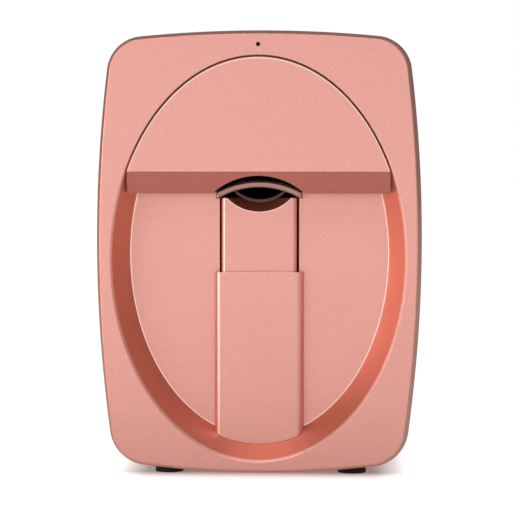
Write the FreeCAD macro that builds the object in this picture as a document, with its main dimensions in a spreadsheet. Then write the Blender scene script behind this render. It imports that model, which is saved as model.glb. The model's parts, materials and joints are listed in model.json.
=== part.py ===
"""Digital nail art printer: a bench-top case with a lifting cartridge lid and a sprung finger rest.

Millimetres. +X is the user's right, -Y faces the user, +Z is up. The origin is the middle of the
footprint, on the surface that the rubber feet stand on.
"""
import FreeCAD, Part
import math
import os

import Sketcher

DRIVING_DIMENSIONS = {
    # case
    "case_width": 158.0, "case_height": 217.5, "case_depth": 124.0,
    "widest_height": 115.0, "floor_gap": 2.5,
    "side_bow_radius": 690.0, "top_bow_radius": 600.0, "base_bow_radius": 460.0,
    "top_corner_radius": 18.0, "base_corner_radius": 19.0,
    "wall": 2.5, "bezel_depth": 20.0, "bezel_flare": 2.8, "flare_depth": 10.0, "edge_bevel": 0.9,
    "rear_cover_depth": 8.0, "rear_bevel": 3.0,
    "corner_screw_inset": 16.0, "corner_screw_drop": 21.0, "corner_screw_rise": 20.0,
    "ear_half_width": 5.0, "ear_depth": 3.0, "rear_ear_depth": 7.5,
    "cover_inset": 11.5, "cover_front_margin": 18.0, "cover_rear_margin": 20.0, "ledge_width": 3.0,
    # oval opening in the front face and the plate at the bottom of the hand recess
    "opening_side_margin": 8.0, "opening_top_margin": 12.5, "opening_base_margin": 9.4,
    "mouth_bevel": 0.7, "recess_side_inset": 7.7, "recess_top_inset": 6.3, "recess_base_inset": 9.9,
    "recess_depth": 16.0, "plate_flange": 1.9, "plate_thickness": 2.5,
    "bay_half_width": 38.0, "bay_rim": 8.0,
    # lid
    "lid_gap": 0.6, "lid_thickness": 2.3, "lid_edge_rise": 7.7, "lip_overlap": 2.9,
    "lip_setback": 6.0, "arch_cut_radius": 33.5, "arch_cut_rise": 5.7, "arch_corner_radius": 2.5,
    "bracket_margin": 3.0, "bracket_thickness": 1.6, "bracket_drop": 23.3,
    "hinge_setback": 4.7, "hinge_drop": 8.0, "hinge_pin_radius": 1.0, "hinge_pin_length": 29.0,
    "barrel_radius": 1.9, "arm_offset": 9.0, "arm_width": 4.0,
    "arm_inner_radius": 8.0, "arm_outer_radius": 10.3, "arm_clearance": 0.6, "arm_slot_drop": 19.3,
    "lug_width": 2.4, "lug_gap": 0.4, "lug_wall": 1.2,
    "magnet_radius": 3.0, "magnet_thickness": 2.0, "magnet_margin": 7.0, "magnet_rise": 6.0,
    # finger port and finger rest
    "port_top": 141.5, "port_radius": 40.0, "port_rim": 3.3, "port_rim_side": 1.7,
    "port_rim_proud": 4.0, "port_rim_leg": 3.2, "rest_half_width": 18.7, "rest_drop": 5.1,
    "rest_apron_foot": 64.2, "rest_proud": 2.7, "rest_side_gap": 0.6, "rest_travel": 11.0,
    "rest_end_gap": 3.0,
    "shelf_depth": 31.0, "shelf_thickness": 12.0, "shelf_side_inset": 2.0,
    "apron_edge_radius": 2.2,
    "trough_axis_rise": 14.9, "trough_radius": 17.6,
    "trough_mouth_radius": 21.6, "trough_mouth_depth": 6.0,
    "rest_rod_radius": 2.0, "rest_rod_spacing": 22.0, "rest_rod_setback": 18.0,
    "rest_rod_drop": 16.2, "rest_bridge_height": 62.2, "rest_sleeve_drop": 30.2, "sleeve_wall": 2.2,
    "bridge_overhang": 9.0, "bridge_half_depth": 6.0, "bridge_thickness": 6.0, "bridge_leg": 3.0,
    "spring_radius": 3.6, "spring_wire": 0.45, "spring_turns": 7.0,
    # lower column cover
    "column_side": 2.5, "column_top": 100.3, "column_proud": 5.0, "column_wall": 2.0,
    "column_edge_radius": 2.6, "column_lip_radius": 0.8,
    "slide_gap": 0.3, "seat_gap": 0.3, "bore_gap": 0.05,
    # chassis and print deck
    "chassis_margin": 19.0, "chassis_floor": 12.0, "sheet": 2.0, "chassis_front_gap": 5.5,
    "chassis_rear_gap": 1.5, "standoff_inset": 10.0, "standoff_margin": 8.0, "deck_rise": 6.8,
    "web_width": 16.0, "web_rise": 26.0, "web_drop": 23.0, "deck_sheet": 1.5, "deck_overhang": 2.0,
    "window_side_margin": 36.0, "window_length": 42.0,
    # gantry: heights above the deck, depths from the rear rail block
    "track_inset": 11.5, "track_radius": 2.5, "rail_block": 6.0, "rail_block_half_width": 6.5,
    "truck_half_width": 8.0, "truck_length": 32.0, "truck_end_gap": 3.0, "truck_lift": 1.5,
    "screw_rise": 4.0, "track_rise": 11.5, "lower_beam_rise": 17.5, "beam_spacing": 14.5,
    "truck_crown": 6.0, "crossbar": 2.5, "crossbar_foot": 4.0, "crossbar_rise": 24.0,
    "rail_front_gap": 1.0, "rail_block_crown": 6.0, "nut_setback": 4.0, "nut_wall": 1.45,
    "nut_length": 12.0, "motor_gap": 0.3,
    "beam_radius": 2.0, "beam_inset": 7.0, "screw_radius": 2.0,
    "drive_motor_radius": 6.0, "drive_motor_length": 15.0,
    # carriage
    "carriage_half_width": 14.0, "carriage_overhang": 9.0, "carriage_lift": 4.5,
    "carriage_wall": 2.6, "cartridge_setback": 9.0, "cartridge_crown": 6.0, "nozzle_lift": 2.3,
    "slot_slack": 0.4,
    "bushing_wall": 1.0, "bushing_length": 6.0,
    "nozzle_inset": 7.0, "nozzle_length": 10.0, "nozzle_half_width": 6.0, "jaw_half_width": 5.0,
    "jaw_thickness": 2.3, "grip_reach": 1.5, "window_sill": 14.0,
    "pulley_radius": 4.5, "pulley_width": 4.0, "pulley_rise": 7.5, "pulley_gap": 0.8,
    "flange_height": 1.2, "flange_width": 0.5,
    "axle_radius": 1.25, "belt_thickness": 1.0, "belt_slack": 0.15, "belt_gap": 0.3,
    # small parts
    "foot_radius": 7.0, "foot_inset": 33.5, "front_foot_setback": 32.0, "rear_foot_setback": 17.5,
    "foot_grip": 3.1,
    "indicator_radius": 1.0, "indicator_drop": 7.3, "indicator_recess": 0.2,
    "indicator_board_width": 5.6, "indicator_board_foot": 3.5, "small_board": 0.8,
    "button_radius": 6.0, "button_travel": 0.8, "button_height": 120.0, "button_inset": 39.0,
    "button_recess": 0.4, "button_flange": 1.6, "button_flange_width": 1.4, "button_stem": 2.0,
    "button_dish": 1.2, "dish_margin": 2.0, "switch_half_width": 3.0, "switch_gap": 0.2,
    "inlet_radius": 4.0, "inlet_height": 34.0, "inlet_inset": 39.0, "inlet_gap": 0.2,
    "jack_half_width": 5.5, "jack_bore_radius": 2.75, "jack_depth": 10.0, "jack_pin_radius": 1.0,
    "screw_shank_radius": 1.2, "screw_head_radius": 2.6, "screw_head_height": 1.8,
    "screw_boss_radius": 3.6, "head_pocket_depth": 0.8, "post_wall": 1.8,
    "bezel_screw_grip": 7.0, "chassis_screw_grip": 3.0, "rear_screw_grip": 4.5,
    "board_screw_length": 5.5,
    "board_thickness": 1.6, "board_setback": 12.0, "board_margin": 23.0, "board_foot": 24.0,
    "board_height": 112.0, "motor_clearance": 16.5, "board_post_inset": 6.0, "board_post_rise": 14.0,
    "camera_setback": 21.5, "camera_radius": 3.9, "camera_shelf_drop": 12.0, "camera_shelf": 1.5,
    "camera_half_width": 12.0, "camera_stem_half_width": 8.0, "camera_barrel": 7.0,
    "camera_board_half": 5.5, "light_half_width": 11.0, "light_depth": 3.0, "light_thickness": 1.6,
    "pad_offset": 2.0, "pad_width": 11.0, "pad_setback": 5.5,
    "cell_radius": 9.2, "cell_length": 65.0, "cell_gap": 1.6, "cell_lift": 1.5, "cell_stack_gap": 0.5,
    "tray_margin": 2.8, "tray_wall": 2.6, "tray_floor": 1.2, "tray_slack": 0.4,
    "vent_width": 2.4, "vent_pitch": 4.4, "vent_count": 9.0, "vent_length": 34.0,
    "vent_offset": 20.0, "vent_drop": 30.0,
}

# Cutting tools reach this far past the faces that they open, and the parts of one moulding run this
# far into each other.
PAST = 1.0
SUNK = 1.0

doc = FreeCAD.newDocument("nail_printer")
sheet = doc.addObject("Spreadsheet::Sheet", "dims")
for row, (alias, amount) in enumerate(DRIVING_DIMENSIONS.items(), start=1):
    sheet.set(f"A{row}", alias)
    sheet.set(f"B{row}", str(amount))
    sheet.setAlias(f"B{row}", alias)
doc.recompute()


class Size:
    """A length that knows its value and the sheet formula that gives it."""

    def __init__(self, value, text):
        self.value = float(value)
        self.text = text

    def __add__(self, other):
        other = as_size(other)
        return Size(self.value + other.value, f"({self.text} + {other.text})")

    def __sub__(self, other):
        other = as_size(other)
        return Size(self.value - other.value, f"({self.text} - {other.text})")

    def __mul__(self, other):
        other = as_size(other)
        return Size(self.value * other.value, f"({self.text} * {other.text})")

    def __truediv__(self, other):
        other = as_size(other)
        return Size(self.value / other.value, f"({self.text} / {other.text})")

    def __neg__(self):
        return Size(-self.value, f"(-1 * {self.text})")

    def __radd__(self, other):
        return as_size(other) + self

    def __rsub__(self, other):
        return as_size(other) - self

    def __rmul__(self, other):
        return as_size(other) * self

    def root(self):
        return Size(math.sqrt(self.value), f"sqrt({self.text})")


def as_size(number):
    return number if isinstance(number, Size) else Size(number, f"{float(number):.6f}")


class Dimensions:
    """Reads the sheet: D.wall is the cell with the alias wall."""

    def __getattr__(self, alias):
        return Size(getattr(sheet, alias), f"dims.{alias}")


D = Dimensions()
pieces = {}


def bind(obj, prop, size):
    obj.setExpression(prop, as_size(size).text)


def place(obj, x, y, z):
    for axis, size in zip("xyz", (x, y, z)):
        bind(obj, f"Placement.Base.{axis}", size)


def make(kind, label):
    obj = doc.addObject(kind, label)
    obj.Label = label
    return obj


def block(label, x, y, z):
    """Box between two limits on each axis."""
    box = make("Part::Box", label)
    place(box, x[0], y[0], z[0])
    for prop, span in zip(("Length", "Width", "Height"), (x, y, z)):
        bind(box, prop, span[1] - as_size(span[0]))
    return box


TURN = {
    "X": FreeCAD.Rotation(FreeCAD.Vector(0, 1, 0), 90),
    "Y": FreeCAD.Rotation(FreeCAD.Vector(1, 0, 0), -90),
    "Z": FreeCAD.Rotation(),
}


def cylinder(label, axis, start, radius, length):
    """Cylinder from a start point along +X, +Y or +Z."""
    rod = make("Part::Cylinder", label)
    rod.Placement.Rotation = TURN[axis]
    place(rod, *start)
    bind(rod, "Radius", radius)
    bind(rod, "Height", length)
    return rod


def cone(label, axis, start, radius, end_radius, length):
    horn = make("Part::Cone", label)
    horn.Placement.Rotation = TURN[axis]
    place(horn, *start)
    bind(horn, "Radius1", radius)
    bind(horn, "Radius2", end_radius)
    bind(horn, "Height", length)
    return horn


def fuse(label, shapes):
    joined = make("Part::MultiFuse", label)
    joined.Shapes = shapes
    joined.Refine = True
    return joined


def group(label, shapes):
    """Separate solids kept together in one node."""
    together = make("Part::Compound", label)
    together.Links = shapes
    return together


def cut(label, base, tools):
    tool = tools[0] if len(tools) == 1 else fuse(label + "_tool", tools)
    result = make("Part::Cut", label)
    result.Base = base
    result.Tool = tool
    result.Refine = True
    return result


def common(label, shapes):
    shared = make("Part::MultiCommon", label)
    shared.Shapes = shapes
    shared.Refine = True
    return shared


def round_edges(label, base, radius, wanted):
    """Fillet the edges that a test picks."""
    doc.recompute()
    rounded = make("Part::Fillet", label)
    rounded.Base = base
    amount = as_size(radius).value
    rounded.Edges = [(number, amount, amount) for number, edge in enumerate(base.Shape.Edges, start=1)
                     if wanted(edge)]
    return rounded


def along(edge, axis):
    """True for a straight edge parallel to the axis."""
    box = edge.BoundBox
    spans = {"X": box.XLength, "Y": box.YLength, "Z": box.ZLength}
    return spans.pop(axis) > 1e-3 and max(spans.values()) < 1e-4


def at_level(edge, low, high, level):
    return abs(low - level) < 1e-3 and abs(high - level) < 1e-3


# sketches ---------------------------------------------------------------------------------------

PLANES = {"XZ": ("XZ_Plane", -1), "YZ": ("YZ_Plane", 1), "XY": ("XY_Plane", 1)}


def new_body(label):
    return make("PartDesign::Body", label)


def new_sketch(body, plane, level):
    """Sketch on one of the body's own planes, shifted along the world axis that it faces."""
    role, direction = PLANES[plane]
    origin_plane = next(item for item in body.Origin.OriginFeatures if item.Role == role)
    sketch = body.newObject("Sketcher::SketchObject", body.Label + "_sketch")
    sketch.AttachmentSupport = [(origin_plane, "")]
    sketch.MapMode = "FlatFace"
    bind(sketch, "AttachmentOffset.Base.z", as_size(level) * direction)
    return sketch


def fix(sketch, kind, *where, size):
    number = sketch.addConstraint(Sketcher.Constraint(kind, *where, as_size(size).value))
    sketch.setExpression(f"Constraints[{number}]", as_size(size).text)


def pad(body, sketch, length, reverse):
    feature = body.newObject("PartDesign::Pad", body.Label + "_pad")
    feature.Profile = sketch
    bind(feature, "Length", length)
    feature.Reversed = reverse
    return feature


def prism(label, plane, span, corners, bends=None):
    """Pad of a closed outline between two levels. bends maps an edge's number to its arc's radius:
    positive bulges to the right of the way round, negative to the left."""
    bends = bends or {}
    body = new_body(label)
    sketch = new_sketch(body, plane, span[0])
    corners = [(as_size(across), as_size(up)) for across, up in corners]
    ends = []
    for number, (across, up) in enumerate(corners):
        next_across, next_up = corners[(number + 1) % len(corners)]
        start = FreeCAD.Vector(across.value, up.value, 0)
        end = FreeCAD.Vector(next_across.value, next_up.value, 0)
        if number not in bends:
            sketch.addGeometry(Part.LineSegment(start, end))
            ends.append((1, 2))
            continue
        radius = abs(as_size(bends[number]).value)
        side = 1 if as_size(bends[number]).value > 0 else -1
        chord = end - start
        right = FreeCAD.Vector(chord.y, -chord.x, 0).normalize() * side
        rise = radius - math.sqrt(radius ** 2 - (chord.Length / 2) ** 2)
        middle = start + chord / 2 + right * rise
        if side > 0:
            sketch.addGeometry(Part.Arc(start, middle, end))
            ends.append((1, 2))
        else:
            sketch.addGeometry(Part.Arc(end, middle, start))
            ends.append((2, 1))
    count = len(corners)
    for number in range(count):
        following = (number + 1) % count
        sketch.addConstraint(Sketcher.Constraint(
            "Coincident", number, ends[number][1], following, ends[following][0]))
    for number, (across, up) in enumerate(corners):
        fix(sketch, "DistanceX", number, ends[number][0], size=across)
        fix(sketch, "DistanceY", number, ends[number][0], size=up)
        if number in bends:
            bend = as_size(bends[number])
            fix(sketch, "Radius", number, size=bend if bend.value > 0 else -bend)
    pad(body, sketch, span[1] - as_size(span[0]), reverse=plane == "XZ")
    return body


def meet(center, radius, other_center, other_radius, side):
    """Crossing of two circles, on the wanted side."""
    across = other_center[0] - center[0]
    up = other_center[1] - center[1]
    apart = math.hypot(across, up)
    along_line = (radius ** 2 - other_radius ** 2 + apart ** 2) / (2 * apart)
    off_line = math.sqrt(radius ** 2 - along_line ** 2)
    middle = (center[0] + along_line * across / apart, center[1] + along_line * up / apart)
    choices = [(middle[0] - turn * off_line * up / apart, middle[1] + turn * off_line * across / apart)
               for turn in (1, -1)]
    return max(choices, key=lambda point: point[0] * side[0] + point[1] * side[1])


def case_outline(body, level, inset):
    """Bowed rectangle of eight tangent arcs: top, sides and base, and the four corners."""
    inset = as_size(inset)
    sketch = new_sketch(body, "XZ", level)
    top_radius = D.top_bow_radius - inset
    base_radius = D.base_bow_radius - inset
    side_radius = D.side_bow_radius - inset
    top_corner = D.top_corner_radius - inset
    base_corner = D.base_corner_radius - inset
    top = (as_size(0), D.case_height - D.top_bow_radius)
    base = (as_size(0), D.floor_gap + D.base_bow_radius)
    right = (D.case_width / 2 - D.side_bow_radius, D.widest_height)
    left = (-right[0], D.widest_height)

    def numbers(point):
        return (point[0].value, point[1].value)

    upper = meet(numbers(top), top_radius.value - top_corner.value,
                 numbers(right), side_radius.value - top_corner.value, (1, 1))
    lower = meet(numbers(base), base_radius.value - base_corner.value,
                 numbers(right), side_radius.value - base_corner.value, (1, -1))
    circles = [
        (numbers(top), top_radius), (upper, top_corner),
        (numbers(right), side_radius), (lower, base_corner),
        (numbers(base), base_radius), ((-lower[0], lower[1]), base_corner),
        (numbers(left), side_radius), ((-upper[0], upper[1]), top_corner),
    ]
    joints = []
    for number, circle in enumerate(circles):
        big, small = sorted((circle, circles[(number + 1) % 8]), key=lambda item: -item[1].value)
        across = small[0][0] - big[0][0]
        up = small[0][1] - big[0][1]
        reach = big[1].value / math.hypot(across, up)
        joints.append((big[0][0] + across * reach, big[0][1] + up * reach))
    for number, (middle, radius) in enumerate(circles):
        start, end = joints[number], joints[number - 1]
        first = math.atan2(start[1] - middle[1], start[0] - middle[0])
        last = math.atan2(end[1] - middle[1], end[0] - middle[0])
        if last < first:
            last += 2 * math.pi
        circle = Part.Circle(FreeCAD.Vector(middle[0], middle[1], 0), FreeCAD.Vector(0, 0, 1), radius.value)
        sketch.addGeometry(Part.ArcOfCircle(circle, first, last))
    for number in range(8):
        sketch.addConstraint(Sketcher.Constraint("Tangent", number, 1, (number + 1) % 8, 2))
    for number, (middle, radius) in enumerate(circles):
        fix(sketch, "Radius", number, size=radius)
    for number, middle in zip((0, 2, 4, 6), (top, right, base, left)):
        fix(sketch, "DistanceX", number, 3, size=middle[0])
        fix(sketch, "DistanceY", number, 3, size=middle[1])
    return sketch


def case_pad(label, span, inset):
    body = new_body(label)
    pad(body, case_outline(body, span[0], inset), span[1] - as_size(span[0]), reverse=True)
    return body


def case_loft(label, sections):
    """Straight-sided loft through outlines given as (level, inset)."""
    body = new_body(label)
    sketches = [case_outline(body, level, inset) for level, inset in sections]
    loft = body.newObject("PartDesign::AdditiveLoft", label + "_loft")
    loft.Profile = (sketches[0], [""])
    loft.Sections = [(sketch, [""]) for sketch in sketches[1:]]
    loft.Ruled = True
    return body


front = -(D.case_depth / 2)
back = D.case_depth / 2
seam = front + D.bezel_depth
rear_seam = back - D.rear_cover_depth
plate_front = front + D.recess_depth
plate_back = plate_front + D.plate_thickness

half_width = D.case_width / 2
opening_half_width = half_width - D.opening_side_margin
opening_top = D.case_height - D.opening_top_margin
opening_half_height = (opening_top - D.opening_base_margin) / 2
opening_height = opening_top - opening_half_height
recess_half_width = opening_half_width - D.recess_side_inset
recess_top = opening_top - D.recess_top_inset
recess_half_height = (recess_top - D.opening_base_margin - D.recess_base_inset) / 2
recess_height = recess_top - recess_half_height
hinge_line = front + D.hinge_setback
hinge_height = D.case_height - D.hinge_drop
indicator_height = D.case_height - D.indicator_drop
ceiling = D.case_height - D.wall

lid_back = front + D.lid_thickness
lid_edge_height = D.port_top + D.lid_edge_rise
lip_height = D.port_top - D.lip_overlap
arch_cut_top = D.port_top + D.arch_cut_rise
rest_top = D.port_top - D.rest_drop
slot_half_width = D.rest_half_width + D.rest_side_gap
port_rim_half_width = slot_half_width + D.port_rim_side
column_half_width = slot_half_width + D.column_side

board_front = back - D.wall - D.board_setback
chassis_half_width = half_width - D.chassis_margin
window_half_width = chassis_half_width - D.window_side_margin
chassis_front = plate_back + D.chassis_front_gap
chassis_rear = board_front - D.chassis_rear_gap
floor_top = D.chassis_floor + D.sheet
deck_height = rest_top + D.deck_rise
deck_top = deck_height + D.deck_sheet
track_half_span = chassis_half_width - D.track_inset
rail_front = chassis_front + D.rail_front_gap
rail_rear = chassis_rear - D.rail_block
truck_rear = rail_rear - D.truck_end_gap
truck_front = truck_rear - D.truck_length
truck_foot = deck_top + D.truck_lift
screw_height = truck_foot + D.screw_rise
track_height = truck_foot + D.track_rise
lower_beam_height = truck_foot + D.lower_beam_rise
upper_beam_height = lower_beam_height + D.beam_spacing
truck_top = upper_beam_height + D.truck_crown
pulley_height = lower_beam_height + D.pulley_rise
beam_level = truck_rear - D.beam_inset
carriage_front = truck_front - D.carriage_overhang
carriage_foot = deck_top + D.carriage_lift
cartridge_rear = beam_level - D.cartridge_setback
cartridge_top = truck_top + D.cartridge_crown
nozzle_height = deck_top + D.nozzle_lift

foot_offset = half_width - D.foot_inset
front_foot = front + D.front_foot_setback
rear_foot = back - D.rear_foot_setback
button_offset = half_width - D.button_inset
inlet_offset = half_width - D.inlet_inset


def oval(label, level, half_width, half_height, height):
    """Upright ellipse that faces the user."""
    ring = make("Part::Ellipse", label)
    ring.Placement.Rotation = FreeCAD.Rotation(FreeCAD.Vector(1, 1, 1), -120)
    place(ring, 0, level, height)
    bind(ring, "MajorRadius", half_height)
    bind(ring, "MinorRadius", half_width)
    return ring


def recess_oval(label, level, grow):
    """Section of the sloped recess at a level between the face and the plate."""
    share = (as_size(level) - front) / D.recess_depth
    return oval(label, level,
                opening_half_width + (recess_half_width - opening_half_width) * share + grow,
                opening_half_height + (recess_half_height - opening_half_height) * share + grow,
                opening_height + (recess_height - opening_height) * share)


def recess_cone(label, span, grow):
    """Solid between two levels of the sloped recess, grown or shrunk all round."""
    funnel = make("Part::Loft", label)
    funnel.Sections = [recess_oval(label + "_near", span[0], grow),
                       recess_oval(label + "_far", span[1], grow)]
    funnel.Solid = True
    funnel.Ruled = True
    return funnel


def oval_plate(label, span, half_width, half_height, height):
    disc = make("Part::Extrusion", label)
    disc.Base = oval(label + "_edge", span[0], half_width, half_height, height)
    disc.DirMode = "Custom"
    disc.Dir = FreeCAD.Vector(0, 1, 0)
    bind(disc, "LengthFwd", span[1] - as_size(span[0]))
    disc.Solid = True
    return disc


def mirrored_pair(label, builder, offset):
    """The same solid on the right and on the left of the middle plane."""
    return [builder(f"{label}_{name}", offset * side) for name, side in (("right", 1), ("left", -1))]


def screws(label, axis, points, shank):
    """Pan-head screws whose heads sit at the points, each pointing back along the axis."""
    solids = []
    for number, point in enumerate(points, start=1):
        name = f"{label}_{number}"
        down = [as_size(item) for item in point]
        place_of = "XYZ".index(axis)
        down[place_of] = down[place_of] - shank
        stem = cylinder(name + "_shank", axis, down, D.screw_shank_radius, shank)
        head = cylinder(name + "_head", axis, point, D.screw_head_radius, D.screw_head_height)
        solids.append(fuse(name, [stem, head]))
    return group(label, solids)


def screw_bores(label, axis, points, depth):
    bores = []
    for number, point in enumerate(points, start=1):
        down = [as_size(item) for item in point]
        place_of = "XYZ".index(axis)
        down[place_of] = down[place_of] - depth
        bores.append(cylinder(f"{label}_{number}", axis, down, D.screw_shank_radius + D.bore_gap, depth + 1))
    return bores


# front housing ----------------------------------------------------------------------------------
# A moulded bezel: bowed rectangle, sides flaring behind the face, oval funnel down to the plate.

bezel_inside = D.bezel_flare + D.wall
skin = case_loft("bezel_skin", [(front, D.bezel_flare + D.edge_bevel),
                                (front + D.edge_bevel, D.bezel_flare),
                                (front + D.flare_depth, 0), (seam, 0)])
hollow = case_pad("bezel_hollow", (front + D.wall, seam + PAST), bezel_inside)
funnel_wall = recess_cone("bezel_funnel_wall", (front + SUNK, plate_front), D.wall)
funnel = recess_cone("bezel_funnel", (front - PAST, plate_front + PAST), 0)

corner_points = [(side * (half_width - D.corner_screw_inset), height) for side in (1, -1)
                 for height in (D.case_height - D.corner_screw_drop, D.floor_gap + D.corner_screw_rise)]
bezel_bosses = [cylinder(f"bezel_boss_{number}", "Y", (x, front + SUNK, z), D.screw_boss_radius,
                         D.bezel_depth - SUNK) for number, (x, z) in enumerate(corner_points)]


def arm_slot(label, offset):
    half = D.arm_width / 2 + D.arm_clearance
    return block(label, (offset - half, offset + half), (front + D.wall + 0.1, plate_front + 2 * D.wall),
                 (hinge_height - D.arm_slot_drop, hinge_height + D.barrel_radius + D.arm_clearance))


indicator_bore = cylinder("indicator_bore", "Y", (0, front - PAST, indicator_height),
                          D.indicator_radius + D.bore_gap, D.wall + 2 * PAST)
bezel_shell = cut("bezel_shell", skin, [hollow])
bezel_body = fuse("bezel_body", [bezel_shell, funnel_wall] + bezel_bosses)
mouth = make("Part::Loft", "bezel_mouth")
mouth.Sections = [recess_oval("bezel_mouth_near", front - 0.1, D.mouth_bevel + 0.1),
                  recess_oval("bezel_mouth_far", front + D.mouth_bevel, 0)]
mouth.Solid = True
mouth.Ruled = True
pieces["front_housing"] = cut("front_housing", bezel_body, [
    funnel, mouth, indicator_bore]
    + mirrored_pair("arm_slot", arm_slot, D.arm_offset)
    + screw_bores("bezel_screw_bore", "Y", [(x, seam, z) for x, z in corner_points],
                  D.bezel_screw_grip + PAST))

# main shell -------------------------------------------------------------------------------------
# The sleeve between bezel and rear cover, with ears for the bezel screws and standoffs inside.

sleeve = case_pad("sleeve_outside", (seam, rear_seam), 0)
sleeve_bore = case_pad("sleeve_inside", (seam - PAST, rear_seam + PAST), D.wall)
standoff_points = [(side * (chassis_half_width - D.standoff_inset), level, D.chassis_floor)
                   for side in (1, -1)
                   for level in (chassis_front + D.standoff_margin, chassis_rear - D.standoff_margin)]
standoff_foot = D.floor_gap + 1.5 * D.wall
standoffs = [cylinder(f"standoff_{number}", "Z", (x, y, standoff_foot), D.screw_boss_radius,
                      top - standoff_foot) for number, (x, y, top) in enumerate(standoff_points)]


def foot_seats(label, level):
    return [cylinder(f"{label}_{side}", "Z", (foot_offset * side, level, 0),
                     D.foot_radius + D.bore_gap, D.floor_gap + D.foot_grip) for side in (1, -1)]


def ear(label, point, levels):
    """Screw ear that runs from its bore out to the top or the base of the case."""
    x, z = point
    if z.value > D.case_height.value / 2:
        heights = (z - D.ear_half_width, D.case_height)
    else:
        heights = (as_size(0), z + D.ear_half_width)
    return block(label, (x - D.ear_half_width, x + D.ear_half_width), levels, heights)


ear_rear = seam + D.ear_depth
ears = [ear(f"bezel_ear_{number}", point, (seam, ear_rear)) for number, point in enumerate(corner_points)]
ears += [ear(f"rear_ear_{number}", point, (rear_seam - D.rear_ear_depth, rear_seam))
         for number, point in enumerate(corner_points)]
ears_in_case = common("case_ears", [case_pad("ear_limit", (seam, rear_seam), D.wall / 2),
                                    fuse("case_ear_blocks", ears)])
cover_half_width = foot_offset - D.cover_inset
cover_front = seam + D.cover_front_margin
cover_rear = rear_seam - D.cover_rear_margin
ledge = D.ledge_width
base_ledge = common("base_ledge", [
    case_pad("ledge_limit", (seam, rear_seam), D.wall - 0.2),
    block("ledge_block", (-(cover_half_width + ledge + SUNK), cover_half_width + ledge + SUNK),
          (cover_front - ledge - SUNK, cover_rear + ledge + SUNK), (0, D.floor_gap + D.wall + ledge))])
ledge_opening = block("ledge_opening", (-(cover_half_width - ledge), cover_half_width - ledge),
                      (cover_front + ledge, cover_rear - ledge), (0, D.chassis_floor))
ledge_recess = common("ledge_recess", [
    block("ledge_recess_block", (-cover_half_width, cover_half_width), (cover_front, cover_rear),
          (0, D.chassis_floor - ledge)),
    cut("ledge_skin", case_pad("ledge_seat", (cover_front, cover_rear), -0.1), [
        case_pad("ledge_skin_bore", (cover_front - PAST, cover_rear + PAST), D.wall)])])
shell_tube = cut("shell_tube", sleeve, [sleeve_bore])
shell_with_ledge = fuse("shell_with_ledge", [shell_tube, ears_in_case, base_ledge] + standoffs)
pieces["main_shell"] = cut("main_shell", shell_with_ledge, [
    ledge_opening, ledge_recess]
    + foot_seats("front_foot_seat", front_foot) + foot_seats("rear_foot_seat", rear_foot)
    + screw_bores("ear_bore", "Y", [(x, ear_rear, z) for x, z in corner_points], D.ear_depth + PAST)
    + screw_bores("rear_ear_bore", "Y", [(x, rear_seam, z) for x, z in corner_points],
                  D.rear_ear_depth - PAST)
    + screw_bores("standoff_bore", "Z", standoff_points, D.chassis_screw_grip + 2 * PAST))
pieces["bezel_screws"] = screws("bezel_screws", "Y", [(x, ear_rear, z) for x, z in corner_points],
                                D.ear_depth + D.bezel_screw_grip)

# base cover -------------------------------------------------------------------------------------

cover_gap = D.seat_gap
pieces["base_cover"] = common("base_cover", [
    block("base_cover_block", (-(cover_half_width - cover_gap), cover_half_width - cover_gap),
          (cover_front + cover_gap, cover_rear - cover_gap), (0, D.chassis_floor - ledge)),
    cut("base_cover_skin", case_pad("base_cover_outside", (cover_front, cover_rear), 0), [
        case_pad("base_cover_inside", (cover_front - PAST, cover_rear + PAST), D.wall - D.bore_gap)])])

# rear cover -------------------------------------------------------------------------------------

rear_skin = case_loft("rear_skin", [(rear_seam, 0), (back - D.rear_bevel, 0), (back, D.rear_bevel)])
rear_hollow = case_pad("rear_hollow", (rear_seam - PAST, back - D.wall), D.rear_bevel + D.wall / 2)
rear_head_level = back - D.screw_head_height - D.head_pocket_depth
rear_screw_points = [(x, rear_head_level, z) for x, z in corner_points]
rear_posts = [cylinder(f"rear_post_{number}", "Y", (x, rear_seam, z), D.screw_head_radius + D.post_wall,
                       back - D.wall / 2 - rear_seam)
              for number, (x, _, z) in enumerate(rear_screw_points)]
head_pockets = [cylinder(f"head_pocket_{number}", "Y", (x, rear_head_level, z),
                         D.screw_head_radius + D.inlet_gap, 2 * D.screw_head_height + PAST)
                for number, (x, _, z) in enumerate(rear_screw_points)]
board_left = D.motor_clearance - track_half_span
board_right = half_width - D.board_margin
board_top = D.board_foot + D.board_height
board_points = [(x, board_front, z)
                for x in (board_left + D.board_post_inset, board_right - D.board_post_inset)
                for z in (D.inlet_height + D.board_post_rise, board_top - D.board_post_inset)]
board_bore_depth = D.board_screw_length + PAST
board_posts = [cylinder(f"board_post_{number}", "Y", (point[0], board_front + D.board_thickness, point[2]),
                        D.screw_boss_radius, D.board_setback - D.board_thickness + SUNK)
               for number, point in enumerate(board_points)]
vent_middle = (D.vent_count.value - 1) / 2
vent_top = D.case_height - D.vent_drop


def vent(label, side, number):
    middle = side * D.vent_offset + D.vent_pitch * (number - vent_middle)
    return block(label, (middle - D.vent_width / 2, middle + D.vent_width / 2),
                 (back - D.wall - PAST, back + PAST), (vent_top - D.vent_length, vent_top))


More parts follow.
